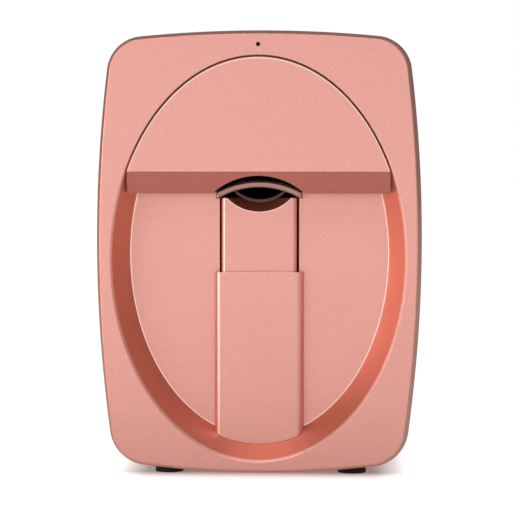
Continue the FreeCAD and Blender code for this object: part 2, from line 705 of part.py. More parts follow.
rear_vents = [vent(f"rear_vent_{number}_{side}", side, number)
              for side in (1, -1) for number in range(int(D.vent_count.value))]
button_bore = cylinder("button_bore", "Y", (button_offset, back - 2 * D.wall, D.button_height),
                       D.button_radius + D.slide_gap, 2 * D.wall + PAST)
button_dish = cone("button_dish", "Y", (button_offset, back - D.button_dish, D.button_height),
                   D.button_radius + D.dish_margin, D.button_radius + 2.2 * D.dish_margin,
                   D.button_dish + 0.1)
inlet_bore = cylinder("inlet_bore", "Y", (inlet_offset, back - 2 * D.wall, D.inlet_height),
                      D.inlet_radius + D.inlet_gap, 2 * D.wall + PAST)
pieces["rear_cover"] = cut("rear_cover", fuse("rear_cover_body", [
    cut("rear_cover_shell", rear_skin, [rear_hollow])] + board_posts + rear_posts), [
        button_bore, button_dish, inlet_bore] + rear_vents + head_pockets
    + screw_bores("board_bore", "Y", [(x, board_front + board_bore_depth, z) for x, _, z in board_points],
                  board_bore_depth)
    + screw_bores("rear_cover_bore", "Y", rear_screw_points, rear_head_level - rear_seam + 1))
pieces["rear_cover_screws"] = screws("rear_cover_screws", "Y", rear_screw_points,
                                     rear_head_level - rear_seam + D.rear_screw_grip)

# hand plate -------------------------------------------------------------------------------------
# Elliptical back wall of the recess, with the cartridge bay above and the keyhole slot below.

port_axis = D.port_top - D.port_radius
slot_foot = D.rest_apron_foot - D.rest_travel - D.rest_end_gap


def arch_height(radius, half_width, axis_height):
    return axis_height + (radius * radius - half_width * half_width).root()


plate_blank = oval_plate("plate_blank", (plate_front, plate_back), recess_half_width + D.plate_flange,
                         recess_half_height + D.plate_flange, recess_height)
bay_window = common("bay_window", [
    oval_plate("bay_window_oval", (plate_front - PAST, plate_back + PAST), recess_half_width - D.bay_rim,
               recess_half_height - D.bay_rim, recess_height),
    block("bay_window_block", (-D.bay_half_width, D.bay_half_width), (plate_front - PAST, plate_back + PAST),
          (lid_edge_height, D.case_height))])
keyhole = prism("keyhole", "XZ", (plate_front - PAST, plate_back + PAST), [
    (-slot_half_width, slot_foot), (slot_half_width, slot_foot),
    (slot_half_width, arch_height(D.port_radius, slot_half_width, port_axis)),
    (-slot_half_width, arch_height(D.port_radius, slot_half_width, port_axis))], {2: D.port_radius})
magnet_x = D.bay_half_width + D.magnet_margin
magnet_z = lid_edge_height + D.magnet_rise
catch_front = lid_back + D.magnet_thickness + 0.5
post_front = catch_front + D.magnet_thickness
magnet_posts = [cylinder(f"magnet_post_{side}", "Y", (magnet_x * side, post_front, magnet_z),
                         D.magnet_radius + 1, plate_front - post_front) for side in (1, -1)]
pieces["hand_plate"] = cut("hand_plate", fuse("hand_plate_body", [plate_blank] + magnet_posts), [
    bay_window, keyhole])
pieces["catch_magnets"] = group("catch_magnets", [
    cylinder(f"catch_magnet_{side}", "Y", (magnet_x * side, catch_front, magnet_z), D.magnet_radius,
             D.magnet_thickness)
    for side in (1, -1)])

rim_outer = D.port_radius + D.port_rim
rim_front = plate_front - D.port_rim_proud
rim_foot = arch_height(rim_outer, port_rim_half_width, port_axis) - D.port_rim_leg
pieces["finger_port_rim"] = prism("finger_port_rim", "XZ", (rim_front, plate_front), [
    (-slot_half_width, arch_height(D.port_radius, slot_half_width, port_axis)),
    (-slot_half_width, rim_foot), (-port_rim_half_width, rim_foot),
    (-port_rim_half_width, arch_height(rim_outer, port_rim_half_width, port_axis)),
    (port_rim_half_width, arch_height(rim_outer, port_rim_half_width, port_axis)),
    (port_rim_half_width, rim_foot), (slot_half_width, rim_foot),
    (slot_half_width, arch_height(D.port_radius, slot_half_width, port_axis))],
    {3: -rim_outer, 7: D.port_radius})

# column cover -----------------------------------------------------------------------------------
# Hollow cover over the finger rest's guide, standing on the plate and running out in the funnel.

cover_face = plate_front - D.column_proud
column_block = block("column_block", (-column_half_width, column_half_width), (cover_face, plate_front),
                     (0, D.column_top))


def column_upright(edge):
    return along(edge, "Z") and edge.BoundBox.YMax < cover_face.value + 0.01


def column_lip(edge):
    """True for the edges round the top of the cover, apart from the one on the plate."""
    box = edge.BoundBox
    return at_level(edge, box.ZMin, box.ZMax, D.column_top.value) and box.YMax < plate_front.value - 0.01


column_rounded = round_edges("column_rounded", column_block, D.column_edge_radius, column_upright)
column_top_edge = round_edges("column_soft", column_rounded, D.column_lip_radius, column_lip)
column_hollow = block("column_hollow", (-(column_half_width - D.column_wall), column_half_width
                                        - D.column_wall), (cover_face + D.column_wall, plate_front + PAST),
                      (slot_foot - D.column_wall, D.column_top + PAST))
pieces["column_cover"] = common("column_cover", [
    recess_cone("column_limit", (front, plate_front), -0.05),
    cut("column_shell", column_top_edge, [column_hollow])])

# finger rest ------------------------------------------------------------------------------------

rest_front = plate_front - D.rest_proud
shelf_rear = plate_back + D.shelf_depth
shelf_foot = rest_top - D.shelf_thickness
rod_level = plate_back + D.rest_rod_setback
rod_top = rest_top - D.rest_rod_drop
sleeve_foot = rest_top - D.rest_sleeve_drop


def apron_upright(edge):
    return along(edge, "Z") and edge.BoundBox.YMax < rest_front.value + 0.01


apron_block = block("rest_apron_block", (-D.rest_half_width, D.rest_half_width),
                    (rest_front, plate_back + SUNK / 2), (D.rest_apron_foot, rest_top))
apron = round_edges("rest_apron", apron_block, D.apron_edge_radius, apron_upright)
shelf = block("rest_shelf", (-(D.rest_half_width - D.shelf_side_inset),
                             D.rest_half_width - D.shelf_side_inset), (plate_back, shelf_rear),
              (shelf_foot, rest_top))
rest_rods = [D.rest_rod_spacing / 2, -(D.rest_rod_spacing / 2)]
sleeves = [cylinder(f"rest_sleeve_{number}", "Z", (x, rod_level, sleeve_foot),
                    D.rest_rod_radius + D.sleeve_wall, shelf_foot - sleeve_foot + SUNK)
           for number, x in enumerate(rest_rods)]
rod_bores = [cylinder(f"rest_rod_bore_{number}", "Z", (x, rod_level, sleeve_foot - PAST),
                      D.rest_rod_radius + D.bore_gap, rod_top + D.rest_travel + D.rest_end_gap - sleeve_foot)
             for number, x in enumerate(rest_rods)]
trough_axis = rest_top + D.trough_axis_rise
trough_mouth = cone("trough_mouth", "Y", (0, rest_front - 0.01, trough_axis), D.trough_mouth_radius,
                    D.trough_radius, D.trough_mouth_depth)
trough = cylinder("trough", "Y", (0, rest_front, trough_axis), D.trough_radius,
                  shelf_rear - rest_front + PAST)
pieces["finger_rest"] = cut("finger_rest", fuse("finger_rest_body", [apron, shelf] + sleeves),
                            [trough_mouth, trough] + rod_bores)

bridge_top = D.rest_bridge_height
bridge_foot = bridge_top - D.bridge_thickness
bridge_half_width = D.rest_rod_spacing / 2 + D.bridge_overhang
bridge_span = (rod_level - D.bridge_half_depth, rod_level + D.bridge_half_depth)
bridge = block("bridge_top", (-bridge_half_width, bridge_half_width), bridge_span,
               (bridge_foot, bridge_top))
legs = [block(f"bridge_leg_{side}", (side * (bridge_half_width - D.bridge_leg / 2) - D.bridge_leg / 2,
                                     side * (bridge_half_width - D.bridge_leg / 2) + D.bridge_leg / 2),
              bridge_span, (floor_top, bridge_top)) for side in (1, -1)]
pieces["rest_bridge"] = cut("rest_bridge", fuse("rest_bridge_body", [bridge] + legs), [
    cylinder(f"bridge_bore_{number}", "Z", (x, rod_level, bridge_foot - PAST),
             D.rest_rod_radius + D.bore_gap, D.bridge_thickness + 2 * PAST)
    for number, x in enumerate(rest_rods)])
pieces["rest_guide_rods"] = group("rest_guide_rods", [
    cylinder(f"rest_rod_{number}", "Z", (x, rod_level, bridge_foot), D.rest_rod_radius,
             rod_top - bridge_foot) for number, x in enumerate(rest_rods)])

COIL_STEPS = 10
spring_foot = bridge_top + D.spring_wire + 0.1
spring_length = sleeve_foot - bridge_top - 2 * D.spring_wire - 0.2


def spring(label, x):
    """Coil spring round a guide rod, between the bridge and the rest's sleeve."""
    steps = round(COIL_STEPS * D.spring_turns.value)
    turn = 2 * math.pi / COIL_STEPS
    points = [FreeCAD.Vector(D.spring_radius.value * math.cos(turn * step),
                             D.spring_radius.value * math.sin(turn * step),
                             spring_length.value * step / steps) for step in range(steps + 1)]
    coil = make("Part::Feature", label + "_coil")
    coil.Shape = Part.makePolygon(points)
    place(coil, x, rod_level, spring_foot)
    wire = make("Part::RegularPolygon", label + "_wire")
    wire.Polygon = 5
    bind(wire, "Circumradius", D.spring_wire)
    wire.Placement.Rotation = FreeCAD.Rotation(FreeCAD.Vector(1, 0, 0), 90)
    place(wire, x + D.spring_radius, rod_level, spring_foot)
    doc.recompute()
    sweep = make("Part::Sweep", label)
    sweep.Sections = [wire]
    sweep.Spine = (coil, [f"Edge{number}" for number in range(1, steps + 1)])
    sweep.Solid = True
    sweep.Transition = "Right corner"
    return sweep


pieces["rest_springs"] = group("rest_springs", [spring(f"rest_spring_{number}", x)
                                                for number, x in enumerate(rest_rods)])

# lid --------------------------------------------------------------------------------------------
# D-shaped panel that continues the face over the bay, with a slanted lip arched over the finger port.

lip_level = front + D.lip_setback
lip_run = lid_edge_height - lip_height
lip_length = (lip_run * lip_run + D.lip_setback * D.lip_setback).root()
lid_side = prism("lid_side", "YZ", (-opening_half_width, opening_half_width), [
    (front, D.case_height), (front, lid_edge_height), (lip_level, lip_height),
    (lip_level + D.lid_thickness * lip_run / lip_length, lip_height + D.lid_thickness * D.lip_setback
     / lip_length),
    (lid_back, lid_edge_height + 1), (lid_back, D.case_height)])
lid_limit = recess_cone("lid_limit", (front - 0.5, lip_level + 4), -D.lid_gap)
arch_cut = cylinder("lid_arch_cut", "Y", (0, front - PAST, arch_cut_top - D.arch_cut_radius),
                    D.arch_cut_radius, D.lip_setback + D.lid_thickness + 4 * PAST)
lid_panel = cut("lid_panel", common("lid_blank", [lid_side, lid_limit]), [arch_cut])


def arch_corner(edge):
    """True for the short edges through the lip where the arch meets its lower rim."""
    box = edge.BoundBox
    return (box.XLength < 2 and box.ZMax < lip_height.value + 1.5
            and abs(box.Center.x) < D.arch_cut_radius.value)


pieces["lid"] = round_edges("lid", lid_panel, D.arch_corner_radius, arch_corner)

arm_mid = (D.arm_inner_radius + D.arm_outer_radius) / 2
# Where the gooseneck starts and ends round the hinge line, in degrees from +Y towards +Z.
spoke_angle = 345.0
foot_angle = 256.5


def polar(radius, angle):
    """Point around the hinge line, with the angle in degrees from +Y towards +Z."""
    return (hinge_line + as_size(radius) * round(math.cos(math.radians(angle)), 9),
            hinge_height + as_size(radius) * round(math.sin(math.radians(angle)), 9))


def lid_arm(label, offset):
    """Gooseneck from the barrel back, down and forward under the rim to the lid."""
    half = D.arm_width / 2
    span = (offset - half, offset + half)
    neck = prism(label + "_neck", "YZ", span, [
        polar(D.arm_outer_radius, foot_angle), polar(D.arm_outer_radius, spoke_angle),
        polar(D.arm_inner_radius, spoke_angle), polar(D.arm_inner_radius, foot_angle)],
        {0: D.arm_outer_radius, 2: -D.arm_inner_radius})
    spoke = prism(label + "_spoke", "YZ", span, [
        polar(D.lug_wall, spoke_angle - 90), polar(D.arm_outer_radius - 0.2, spoke_angle - 6.5),
        polar(D.arm_outer_radius - D.bore_gap, spoke_angle), polar(D.lug_wall, spoke_angle + 90)])
    barrel = cylinder(label + "_barrel", "X", (span[0], hinge_line, hinge_height), D.barrel_radius,
                      D.arm_width)
    return fuse(label, [neck, spoke, barrel])


bracket_half_width = D.arm_offset + D.bracket_margin
bracket_foot = block("bracket_foot", (-bracket_half_width, bracket_half_width),
                     (lid_back, lid_back + D.bracket_thickness),
                     (hinge_height - D.bracket_drop, hinge_height - D.arm_inner_radius - D.seat_gap))
bracket_arms = mirrored_pair("lid_arm", lid_arm, D.arm_offset)


def pin_bore(label):
    """Bore for the hinge pin, right across the hinge."""
    reach = D.hinge_pin_length / 2 + PAST
    return cylinder(label, "X", (-reach, hinge_line, hinge_height), D.hinge_pin_radius + D.bore_gap,
                    reach * 2)


pieces["lid_hinge_bracket"] = cut("lid_hinge_bracket", fuse("lid_hinge_bracket_body", [bracket_foot]
                                                            + bracket_arms), [pin_bore("lid_pin_bore")])
pieces["lid_magnets"] = group("lid_magnets", [
    cylinder(f"lid_magnet_{side}", "Y", (magnet_x * side, lid_back, magnet_z), D.magnet_radius,
             D.magnet_thickness)
    for side in (1, -1)])
pieces["hinge_pin"] = cylinder("hinge_pin", "X", (-(D.hinge_pin_length / 2), hinge_line, hinge_height),
                               D.hinge_pin_radius, D.hinge_pin_length)


def hinge_lug(label, offset):
    return block(label, (offset - D.lug_width / 2, offset + D.lug_width / 2),
                 (front + D.wall, hinge_line + 1.5 * D.lug_wall),
                 (hinge_height - D.hinge_pin_radius - D.lug_wall, D.case_height - bezel_inside - 0.35))


lug_shift = D.arm_width / 2 + D.lug_gap + D.lug_width / 2
inner_lugs = mirrored_pair("inner_lug", hinge_lug, D.arm_offset - lug_shift)
outer_lugs = mirrored_pair("outer_lug", hinge_lug, D.arm_offset + lug_shift)
pieces["hinge_lugs"] = group("hinge_lugs", [
    cut(f"hinge_lug_{number}", lug, [pin_bore(f"hinge_lug_bore_{number}")])
    for number, lug in enumerate(inner_lugs + outer_lugs)])

# indicator --------------------------------------------------------------------------------------

pieces["indicator_lens"] = cylinder("indicator_lens", "Y",
                                    (0, front + D.indicator_recess, indicator_height),
                                    D.indicator_radius, D.wall - D.indicator_recess)
pieces["indicator_board"] = block(
    "indicator_board", (-(D.indicator_board_width / 2), D.indicator_board_width / 2),
    (front + D.wall, front + D.wall + D.small_board),
    (indicator_height - D.indicator_board_foot, indicator_height + D.indicator_radius + D.seat_gap))

# chassis and deck -------------------------------------------------------------------------------

chassis_span = (chassis_front, chassis_rear)
chassis_floor = block("chassis_plate", (-chassis_half_width, chassis_half_width), chassis_span,
                      (D.chassis_floor, floor_top))
chassis_sides = [block(f"chassis_side_{side}", (side * (chassis_half_width - D.sheet / 2) - D.sheet / 2,
                                               side * (chassis_half_width - D.sheet / 2) + D.sheet / 2),
                       chassis_span, (D.chassis_floor, deck_height)) for side in (1, -1)]
side_windows = block("chassis_side_windows", (-half_width, half_width),
                     (chassis_front + D.web_width, chassis_rear - D.web_width),
                     (floor_top + D.web_rise, deck_height - D.web_drop))
chassis_screw_points = [(x, y, floor_top) for x, y, _ in standoff_points]
pieces["chassis"] = cut("chassis", fuse("chassis_body", [chassis_floor] + chassis_sides), [
    side_windows] + screw_bores("chassis_bore", "Z", chassis_screw_points, D.sheet + PAST))
pieces["chassis_screws"] = screws("chassis_screws", "Z", chassis_screw_points,
                                  D.sheet + D.chassis_screw_grip)

deck_half_width = chassis_half_width + D.deck_overhang
deck = block("deck_sheet_metal", (-deck_half_width, deck_half_width),
             (plate_back + D.seat_gap, chassis_rear), (deck_height, deck_top))
pieces["print_deck"] = cut("print_deck", deck, [
    block("print_window", (-window_half_width, window_half_width),
          (chassis_front, chassis_front + D.window_length),
          (deck_height - PAST, deck_top + PAST))])

def rail_pair(label, offset):
    """Front and rear block of one track rod; the left pair also carries the lead screw."""
    solids = []
    for name, level in (("front", rail_front), ("rear", rail_rear)):
        body = block(f"{label}_{name}_body",
                     (offset - D.rail_block_half_width, offset + D.rail_block_half_width),
                     (level, level + D.rail_block), (deck_top, track_height + D.rail_block_crown))
        bores = [cylinder(f"{label}_{name}_rod_bore", "Y", (offset, level - PAST, track_height),
                          D.track_radius + D.bore_gap, D.rail_block + 2 * PAST)]
        if offset.value < 0:
            bores.append(cylinder(f"{label}_{name}_screw_bore", "Y", (offset, level - PAST, screw_height),
                                  D.screw_radius + D.bore_gap, D.rail_block + 2 * PAST))
        solids.append(cut(f"{label}_{name}", body, bores))
    return group(label, solids)


rail_end = rail_rear + D.rail_block
motor_front = rail_end + D.motor_gap
pieces["rail_blocks"] = group("rail_blocks", mirrored_pair("rail_pair", rail_pair, track_half_span))
pieces["track_rods"] = group("track_rods", mirrored_pair("track_rod", lambda name, x: cylinder(
    name, "Y", (x, rail_front, track_height), D.track_radius, rail_end - rail_front),
    track_half_span))
pieces["lead_screw"] = cylinder("lead_screw", "Y", (-track_half_span, rail_front, screw_height),
                                D.screw_radius, rail_end - rail_front)
pieces["feed_motor"] = cylinder("feed_motor", "Y", (-track_half_span, motor_front, screw_height),
                                D.drive_motor_radius, back - D.wall - 0.5 - motor_front)

# gantry -----------------------------------------------------------------------------------------


def truck(label, offset):
    return block(label, (offset - D.truck_half_width, offset + D.truck_half_width),
                 (truck_front, truck_rear), (truck_foot, truck_top))


trucks = mirrored_pair("truck", truck, track_half_span)
crossbar = block("crossbar", (-track_half_span, track_half_span), (truck_rear - D.crossbar, truck_rear),
                 (truck_foot + D.crossbar_foot, truck_foot + D.crossbar_rise))
truck_bore_front = truck_front - PAST
truck_bore_length = D.truck_length + 2 * PAST
track_bores = mirrored_pair("track_bore", lambda name, x: cylinder(
    name, "Y", (x, truck_bore_front, track_height), D.track_radius + D.bore_gap, truck_bore_length),
    track_half_span)
screw_bore = cylinder("lead_screw_bore", "Y", (-track_half_span, truck_bore_front, screw_height),
                      D.screw_radius + D.nut_wall + D.bore_gap, truck_bore_length)
beam_span = track_half_span + D.truck_half_width - 2
beam_bores = [cylinder(f"beam_bore_{number}", "X", (-beam_span, beam_level, height),
                       D.beam_radius + D.bore_gap, beam_span * 2)
              for number, height in enumerate((lower_beam_height, upper_beam_height))]
motor_pocket = D.drive_motor_length + 2 * PAST
motor_seat = cylinder("scan_motor_seat", "Y", (-track_half_span, truck_bore_front, pulley_height),
                      D.drive_motor_radius + D.belt_slack, motor_pocket + PAST)
axle_bores = mirrored_pair("axle_bore", lambda name, x: cylinder(
    name, "Y", (x, truck_front, pulley_height), D.axle_radius + D.bore_gap, D.truck_length + 8),
    track_half_span)
pieces["gantry_frame"] = cut("gantry_frame", fuse("gantry_body", trucks + [crossbar]),
                             track_bores + [screw_bore, motor_seat] + beam_bores + axle_bores)
pieces["lead_nut"] = cut("lead_nut", cylinder("lead_nut_blank", "Y", (
    -track_half_span, truck_front + D.nut_setback, screw_height), D.screw_radius + D.nut_wall,
    D.nut_length), [cylinder("lead_nut_bore", "Y", (-track_half_span, truck_bore_front, screw_height),
                             D.screw_radius + D.bore_gap, truck_bore_length)])
pieces["beam_rods"] = group("beam_rods", [
    cylinder(f"beam_rod_{number}", "X", (-(beam_span - 0.5), beam_level, height), D.beam_radius,
             beam_span * 2 - 1) for number, height in enumerate((lower_beam_height, upper_beam_height))])
pieces["scan_motor"] = cylinder("scan_motor", "Y", (-track_half_span, truck_front + 1, pulley_height),
                                D.drive_motor_radius, D.drive_motor_length)

pulley_front = truck_rear + D.pulley_gap
axle_front = truck_front + motor_pocket + PAST


def pulley(label, offset):
    """Belt wheel on its own short axle, which runs in the truck."""
    rim = cylinder(label + "_rim", "Y", (offset, pulley_front, pulley_height), D.pulley_radius,
                   D.pulley_width)
    flange = cylinder(label + "_flange", "Y", (offset, pulley_front, pulley_height),
                      D.pulley_radius + D.flange_height, D.flange_width)
    axle = cylinder(label + "_axle", "Y", (offset, axle_front, pulley_height), D.axle_radius,
                    pulley_front + SUNK - axle_front)
    return fuse(label, [rim, flange, axle])


pieces["drive_pulley"] = pulley("drive_pulley", -track_half_span)
pieces["idler_pulley"] = pulley("idler_pulley", track_half_span)

belt_levels = (pulley_front + D.pulley_gap, pulley_front + D.pulley_width)


def belt_loop(label, radius, levels):
    ends = mirrored_pair(label + "_end", lambda name, x: cylinder(
        name, "Y", (x, levels[0], pulley_height), radius, levels[1] - as_size(levels[0])), track_half_span)
    runs = block(label + "_runs", (-track_half_span, track_half_span), levels,
                 (pulley_height - radius, pulley_height + radius))
    return fuse(label, ends + [runs])


belt_inside = D.pulley_radius + D.belt_slack
belt_blank = belt_loop("belt_outside", belt_inside + D.belt_thickness, belt_levels)
pieces["scan_belt"] = cut("scan_belt", belt_blank, [
    belt_loop("belt_inside", belt_inside, (belt_levels[0] - PAST, belt_levels[1] + PAST))])

# carriage ---------------------------------------------------------------------------------------

carriage_rear = truck_rear - D.crossbar - 2 * D.seat_gap
carriage_blank = block("carriage_blank", (-D.carriage_half_width, D.carriage_half_width),
                       (carriage_front, carriage_rear), (carriage_foot, truck_top))
pocket_half = D.carriage_half_width - D.carriage_wall
pocket_front = carriage_front + D.carriage_wall
pocket_floor = carriage_foot + D.camera_shelf
cartridge_pocket = block("cartridge_pocket", (-pocket_half, pocket_half),
                         (pocket_front, cartridge_rear + D.slot_slack), (pocket_floor, truck_top + PAST))
front_window = block("carriage_window", (-pocket_half, pocket_half),
                     (carriage_front - PAST, pocket_front + PAST),
                     (carriage_foot + D.window_sill, truck_top + PAST))
nozzle_front = carriage_front + D.nozzle_inset
nozzle_rear = nozzle_front + D.nozzle_length
nozzle_room = D.nozzle_half_width + PAST
nozzle_window = block("nozzle_window", (-nozzle_room, nozzle_room), (nozzle_front - PAST, nozzle_rear + PAST),
                      (carriage_foot - PAST, pocket_floor + D.bore_gap))
upper_strand = pulley_height + belt_inside
strand_top = upper_strand + D.belt_thickness
jaw_span = (-D.jaw_half_width, D.jaw_half_width)
jaw_foot = upper_strand - D.belt_gap - D.jaw_thickness
jaw_top = strand_top + D.belt_gap + D.jaw_thickness
lower_jaw = block("lower_jaw", jaw_span, (carriage_rear - SUNK, belt_levels[1]),
                  (jaw_foot, upper_strand - D.belt_gap))
upper_jaw = block("upper_jaw", jaw_span, (belt_levels[0] - SUNK, belt_levels[1]),
                  (strand_top + D.belt_gap, jaw_top))
jaw_back = block("jaw_back", jaw_span, (carriage_rear - SUNK, belt_levels[0] - D.belt_gap),
                 (jaw_foot, jaw_top))
bore_reach = D.carriage_half_width + PAST
carriage_bores = [cylinder(f"carriage_bore_{number}", "X", (-bore_reach, beam_level, height),
                           D.beam_radius + D.bore_gap + D.bushing_wall, bore_reach * 2)
                  for number, height in enumerate((lower_beam_height, upper_beam_height))]
pieces["carriage"] = cut("carriage", fuse("carriage_body", [carriage_blank, lower_jaw, upper_jaw, jaw_back]),
                         [cartridge_pocket, front_window, nozzle_window] + carriage_bores)


def bushing(label, x, height):
    ring = cylinder(label + "_ring", "X", (x, beam_level, height), D.beam_radius + D.bushing_wall,
                    D.bushing_length)
    return cut(label, ring, [cylinder(label + "_bore", "X", (x - PAST, beam_level, height),
                                      D.beam_radius + D.bore_gap, D.bushing_length + 2 * PAST)])


pieces["carriage_bushings"] = group("carriage_bushings", [
    bushing(f"bushing_{number}_{name}", x, height)
    for number, height in enumerate((lower_beam_height, upper_beam_height))
    for name, x in (("left", -D.carriage_half_width), ("right", D.carriage_half_width - D.bushing_length))])
cartridge_half = pocket_half - D.seat_gap
cartridge_tub = block("cartridge_tub", (-cartridge_half, cartridge_half),
                      (pocket_front + D.seat_gap, cartridge_rear), (pocket_floor, cartridge_top))
cartridge_nose = block("cartridge_nose", (-D.nozzle_half_width, D.nozzle_half_width),
                       (nozzle_front, nozzle_rear), (nozzle_height, pocket_floor + SUNK))
cartridge_grip = block("cartridge_grip", jaw_span, (carriage_front - D.grip_reach, nozzle_front),
                       (cartridge_top - D.sheet, cartridge_top))
pieces["ink_cartridge"] = fuse("ink_cartridge", [cartridge_tub, cartridge_nose, cartridge_grip])

# service station, camera and light ---------------------------------------------------------------

pad_left = window_half_width + D.pad_offset
pieces["capping_pad"] = block("capping_pad", (pad_left, pad_left + D.pad_width),
                              (nozzle_front + D.pad_setback, nozzle_rear + D.pad_setback),
                              (deck_top, nozzle_height - D.slot_slack))
camera_level = plate_back + D.camera_setback
shelf_top = ceiling - D.camera_shelf_drop
shelf_under = shelf_top - D.camera_shelf
stem_half = D.camera_stem_half_width
camera_stem = block("camera_stem", (-stem_half, stem_half),
                    (camera_level - stem_half, camera_level - stem_half + D.sheet),
                    (shelf_top - D.camera_shelf / 2, ceiling - D.seat_gap))
camera_shelf = block("camera_shelf", (-D.camera_half_width, D.camera_half_width),
                     (camera_level - D.camera_half_width, camera_level + stem_half),
                     (shelf_under, shelf_top))
pieces["camera_bracket"] = cut("camera_bracket", fuse("camera_bracket_body", [camera_stem, camera_shelf]), [
    cylinder("camera_bore", "Z", (0, camera_level, shelf_under - PAST), D.camera_radius + D.slide_gap,
             D.camera_shelf + 2 * PAST)])
pieces["nail_camera"] = fuse("nail_camera", [
    cylinder("camera_barrel", "Z", (0, camera_level, shelf_top - D.camera_barrel), D.camera_radius,
             D.camera_barrel + SUNK),
    block("camera_board", (-D.camera_board_half, D.camera_board_half),
          (camera_level - D.camera_board_half, camera_level + D.camera_board_half),
          (shelf_top, shelf_top + D.sheet))])
light_rear = camera_level - stem_half - D.grip_reach / 3
pieces["light_bar"] = block("light_bar", (-D.light_half_width, D.light_half_width),
                            (light_rear - D.light_depth, light_rear),
                            (shelf_under - D.light_thickness, shelf_under))

# electronics ------------------------------------------------------------------------------------

board = block("board_blank", (board_left, board_right), (board_front, board_front + D.board_thickness),
              (D.board_foot, board_top))
pieces["main_board"] = cut("main_board", board, screw_bores(
    "board_hole", "Y", [(x, board_front + D.board_thickness, z) for x, _, z in board_points],
    D.board_thickness + 2 * PAST))
pieces["board_screws"] = group("board_screws", [fuse(f"board_screw_{number}", [
    cylinder(f"board_screw_{number}_shank", "Y", (x, board_front - SUNK / 2, z), D.screw_shank_radius,
             D.board_screw_length + SUNK / 2),
    cylinder(f"board_screw_{number}_head", "Y", (x, board_front - D.screw_head_height, z),
             D.screw_head_radius, D.screw_head_height)]) for number, (x, _, z) in enumerate(board_points)])
button_flange_rear = back - D.wall - D.slide_gap
button_stem_front = button_flange_rear - D.button_stem
pieces["power_button"] = fuse("power_button", [
    cylinder("button_cap", "Y", (button_offset, button_stem_front, D.button_height), D.button_radius,
             back - D.button_recess - button_stem_front),
    cylinder("button_flange", "Y", (button_offset, button_flange_rear - D.button_flange_width,
                                    D.button_height),
             D.button_radius + D.button_flange, D.button_flange_width)])
switch_face = button_stem_front - D.button_travel - D.switch_gap
board_back = board_front + D.board_thickness
switch_half = D.switch_half_width
pieces["power_switch"] = block("power_switch", (button_offset - switch_half, button_offset + switch_half),
                               (board_back, switch_face),
                               (D.button_height - switch_half, D.button_height + switch_half))
jack_half = D.jack_half_width
jack_block = block("jack_block", (inlet_offset - jack_half, inlet_offset + jack_half),
                   (board_back, back - D.wall - D.seat_gap),
                   (D.inlet_height - jack_half, D.inlet_height + jack_half))
jack_nose = cylinder("jack_nose", "Y", (inlet_offset, back - D.wall - SUNK, D.inlet_height),
                     D.inlet_radius, D.wall + SUNK - D.inlet_gap)
jack_bore = cylinder("jack_bore", "Y", (inlet_offset, back - D.jack_depth, D.inlet_height),
                     D.jack_bore_radius, D.jack_depth + PAST)
jack_pin = cylinder("jack_pin", "Y", (inlet_offset, back - D.jack_depth - SUNK / 2, D.inlet_height),
                    D.jack_pin_radius, D.jack_depth - SUNK / 2)
pieces["power_inlet"] = fuse("power_inlet", [cut("jack_shell", fuse("jack_body", [jack_block, jack_nose]),
                                                 [jack_bore]), jack_pin])

cell_start = -(D.cell_length / 2)
cell_pitch = 2 * D.cell_radius + D.cell_gap
tray_rear = chassis_rear - D.standoff_margin
rear_row = tray_rear - D.cell_radius - D.tray_margin
front_row = rear_row - cell_pitch
tray_front = front_row - D.cell_radius - D.tray_margin
lower_row = floor_top + D.cell_radius + D.cell_lift
upper_row = lower_row + 2 * D.cell_radius + D.cell_stack_gap
pieces["battery_cells"] = group("battery_cells", [
    cylinder(f"cell_{row}_{level}", "X", (cell_start, y, z), D.cell_radius, D.cell_length)
    for row, y in enumerate((front_row, rear_row)) for level, z in enumerate((lower_row, upper_row))])
tray_inside = D.cell_length / 2 + D.tray_slack
tray_outside = tray_inside + D.tray_wall
tray_floor = block("tray_floor", (-tray_outside, tray_outside), (tray_front, tray_rear),
                   (floor_top, floor_top + D.tray_floor))
tray_ends = [block(f"tray_end_{name}", span, (tray_front, tray_rear),
                   (floor_top, floor_top + 4 * D.cell_radius))
             for name, span in (("right", (tray_inside, tray_outside)),
                                ("left", (-tray_outside, -tray_inside)))]
pieces["battery_tray"] = fuse("battery_tray", [tray_floor] + tray_ends)

# rubber feet ------------------------------------------------------------------------------------

pieces["rubber_feet"] = group("rubber_feet", [
    cylinder(f"foot_{name}_{side}", "Z", (foot_offset * side, level, 0), D.foot_radius,
             D.floor_gap + D.foot_grip)
    for name, level in (("front", front_foot), ("rear", rear_foot)) for side in (1, -1)])

# check and write --------------------------------------------------------------------------------

doc.recompute()
for obj in doc.Objects:
    if "Invalid" in obj.State or "Error" in obj.State:
        raise RuntimeError(f"{obj.Label} failed: {obj.State}")
for name, piece in pieces.items():
    piece.Label = name
    shape = piece.Shape
    if shape.isNull() or not shape.isValid() or shape.Volume < 1:
        raise RuntimeError(f"{name} is not a valid solid")
os.makedirs("parts", exist_ok=True)
for name, piece in pieces.items():
    piece.Shape.exportStep(f"parts/{name}.step")
    print(f"{name}: {len(piece.Shape.Solids)} solid(s), {piece.Shape.Volume / 1000:.2f} cm3")
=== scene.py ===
import json
import math

import bpy
from mathutils import Matrix, Vector

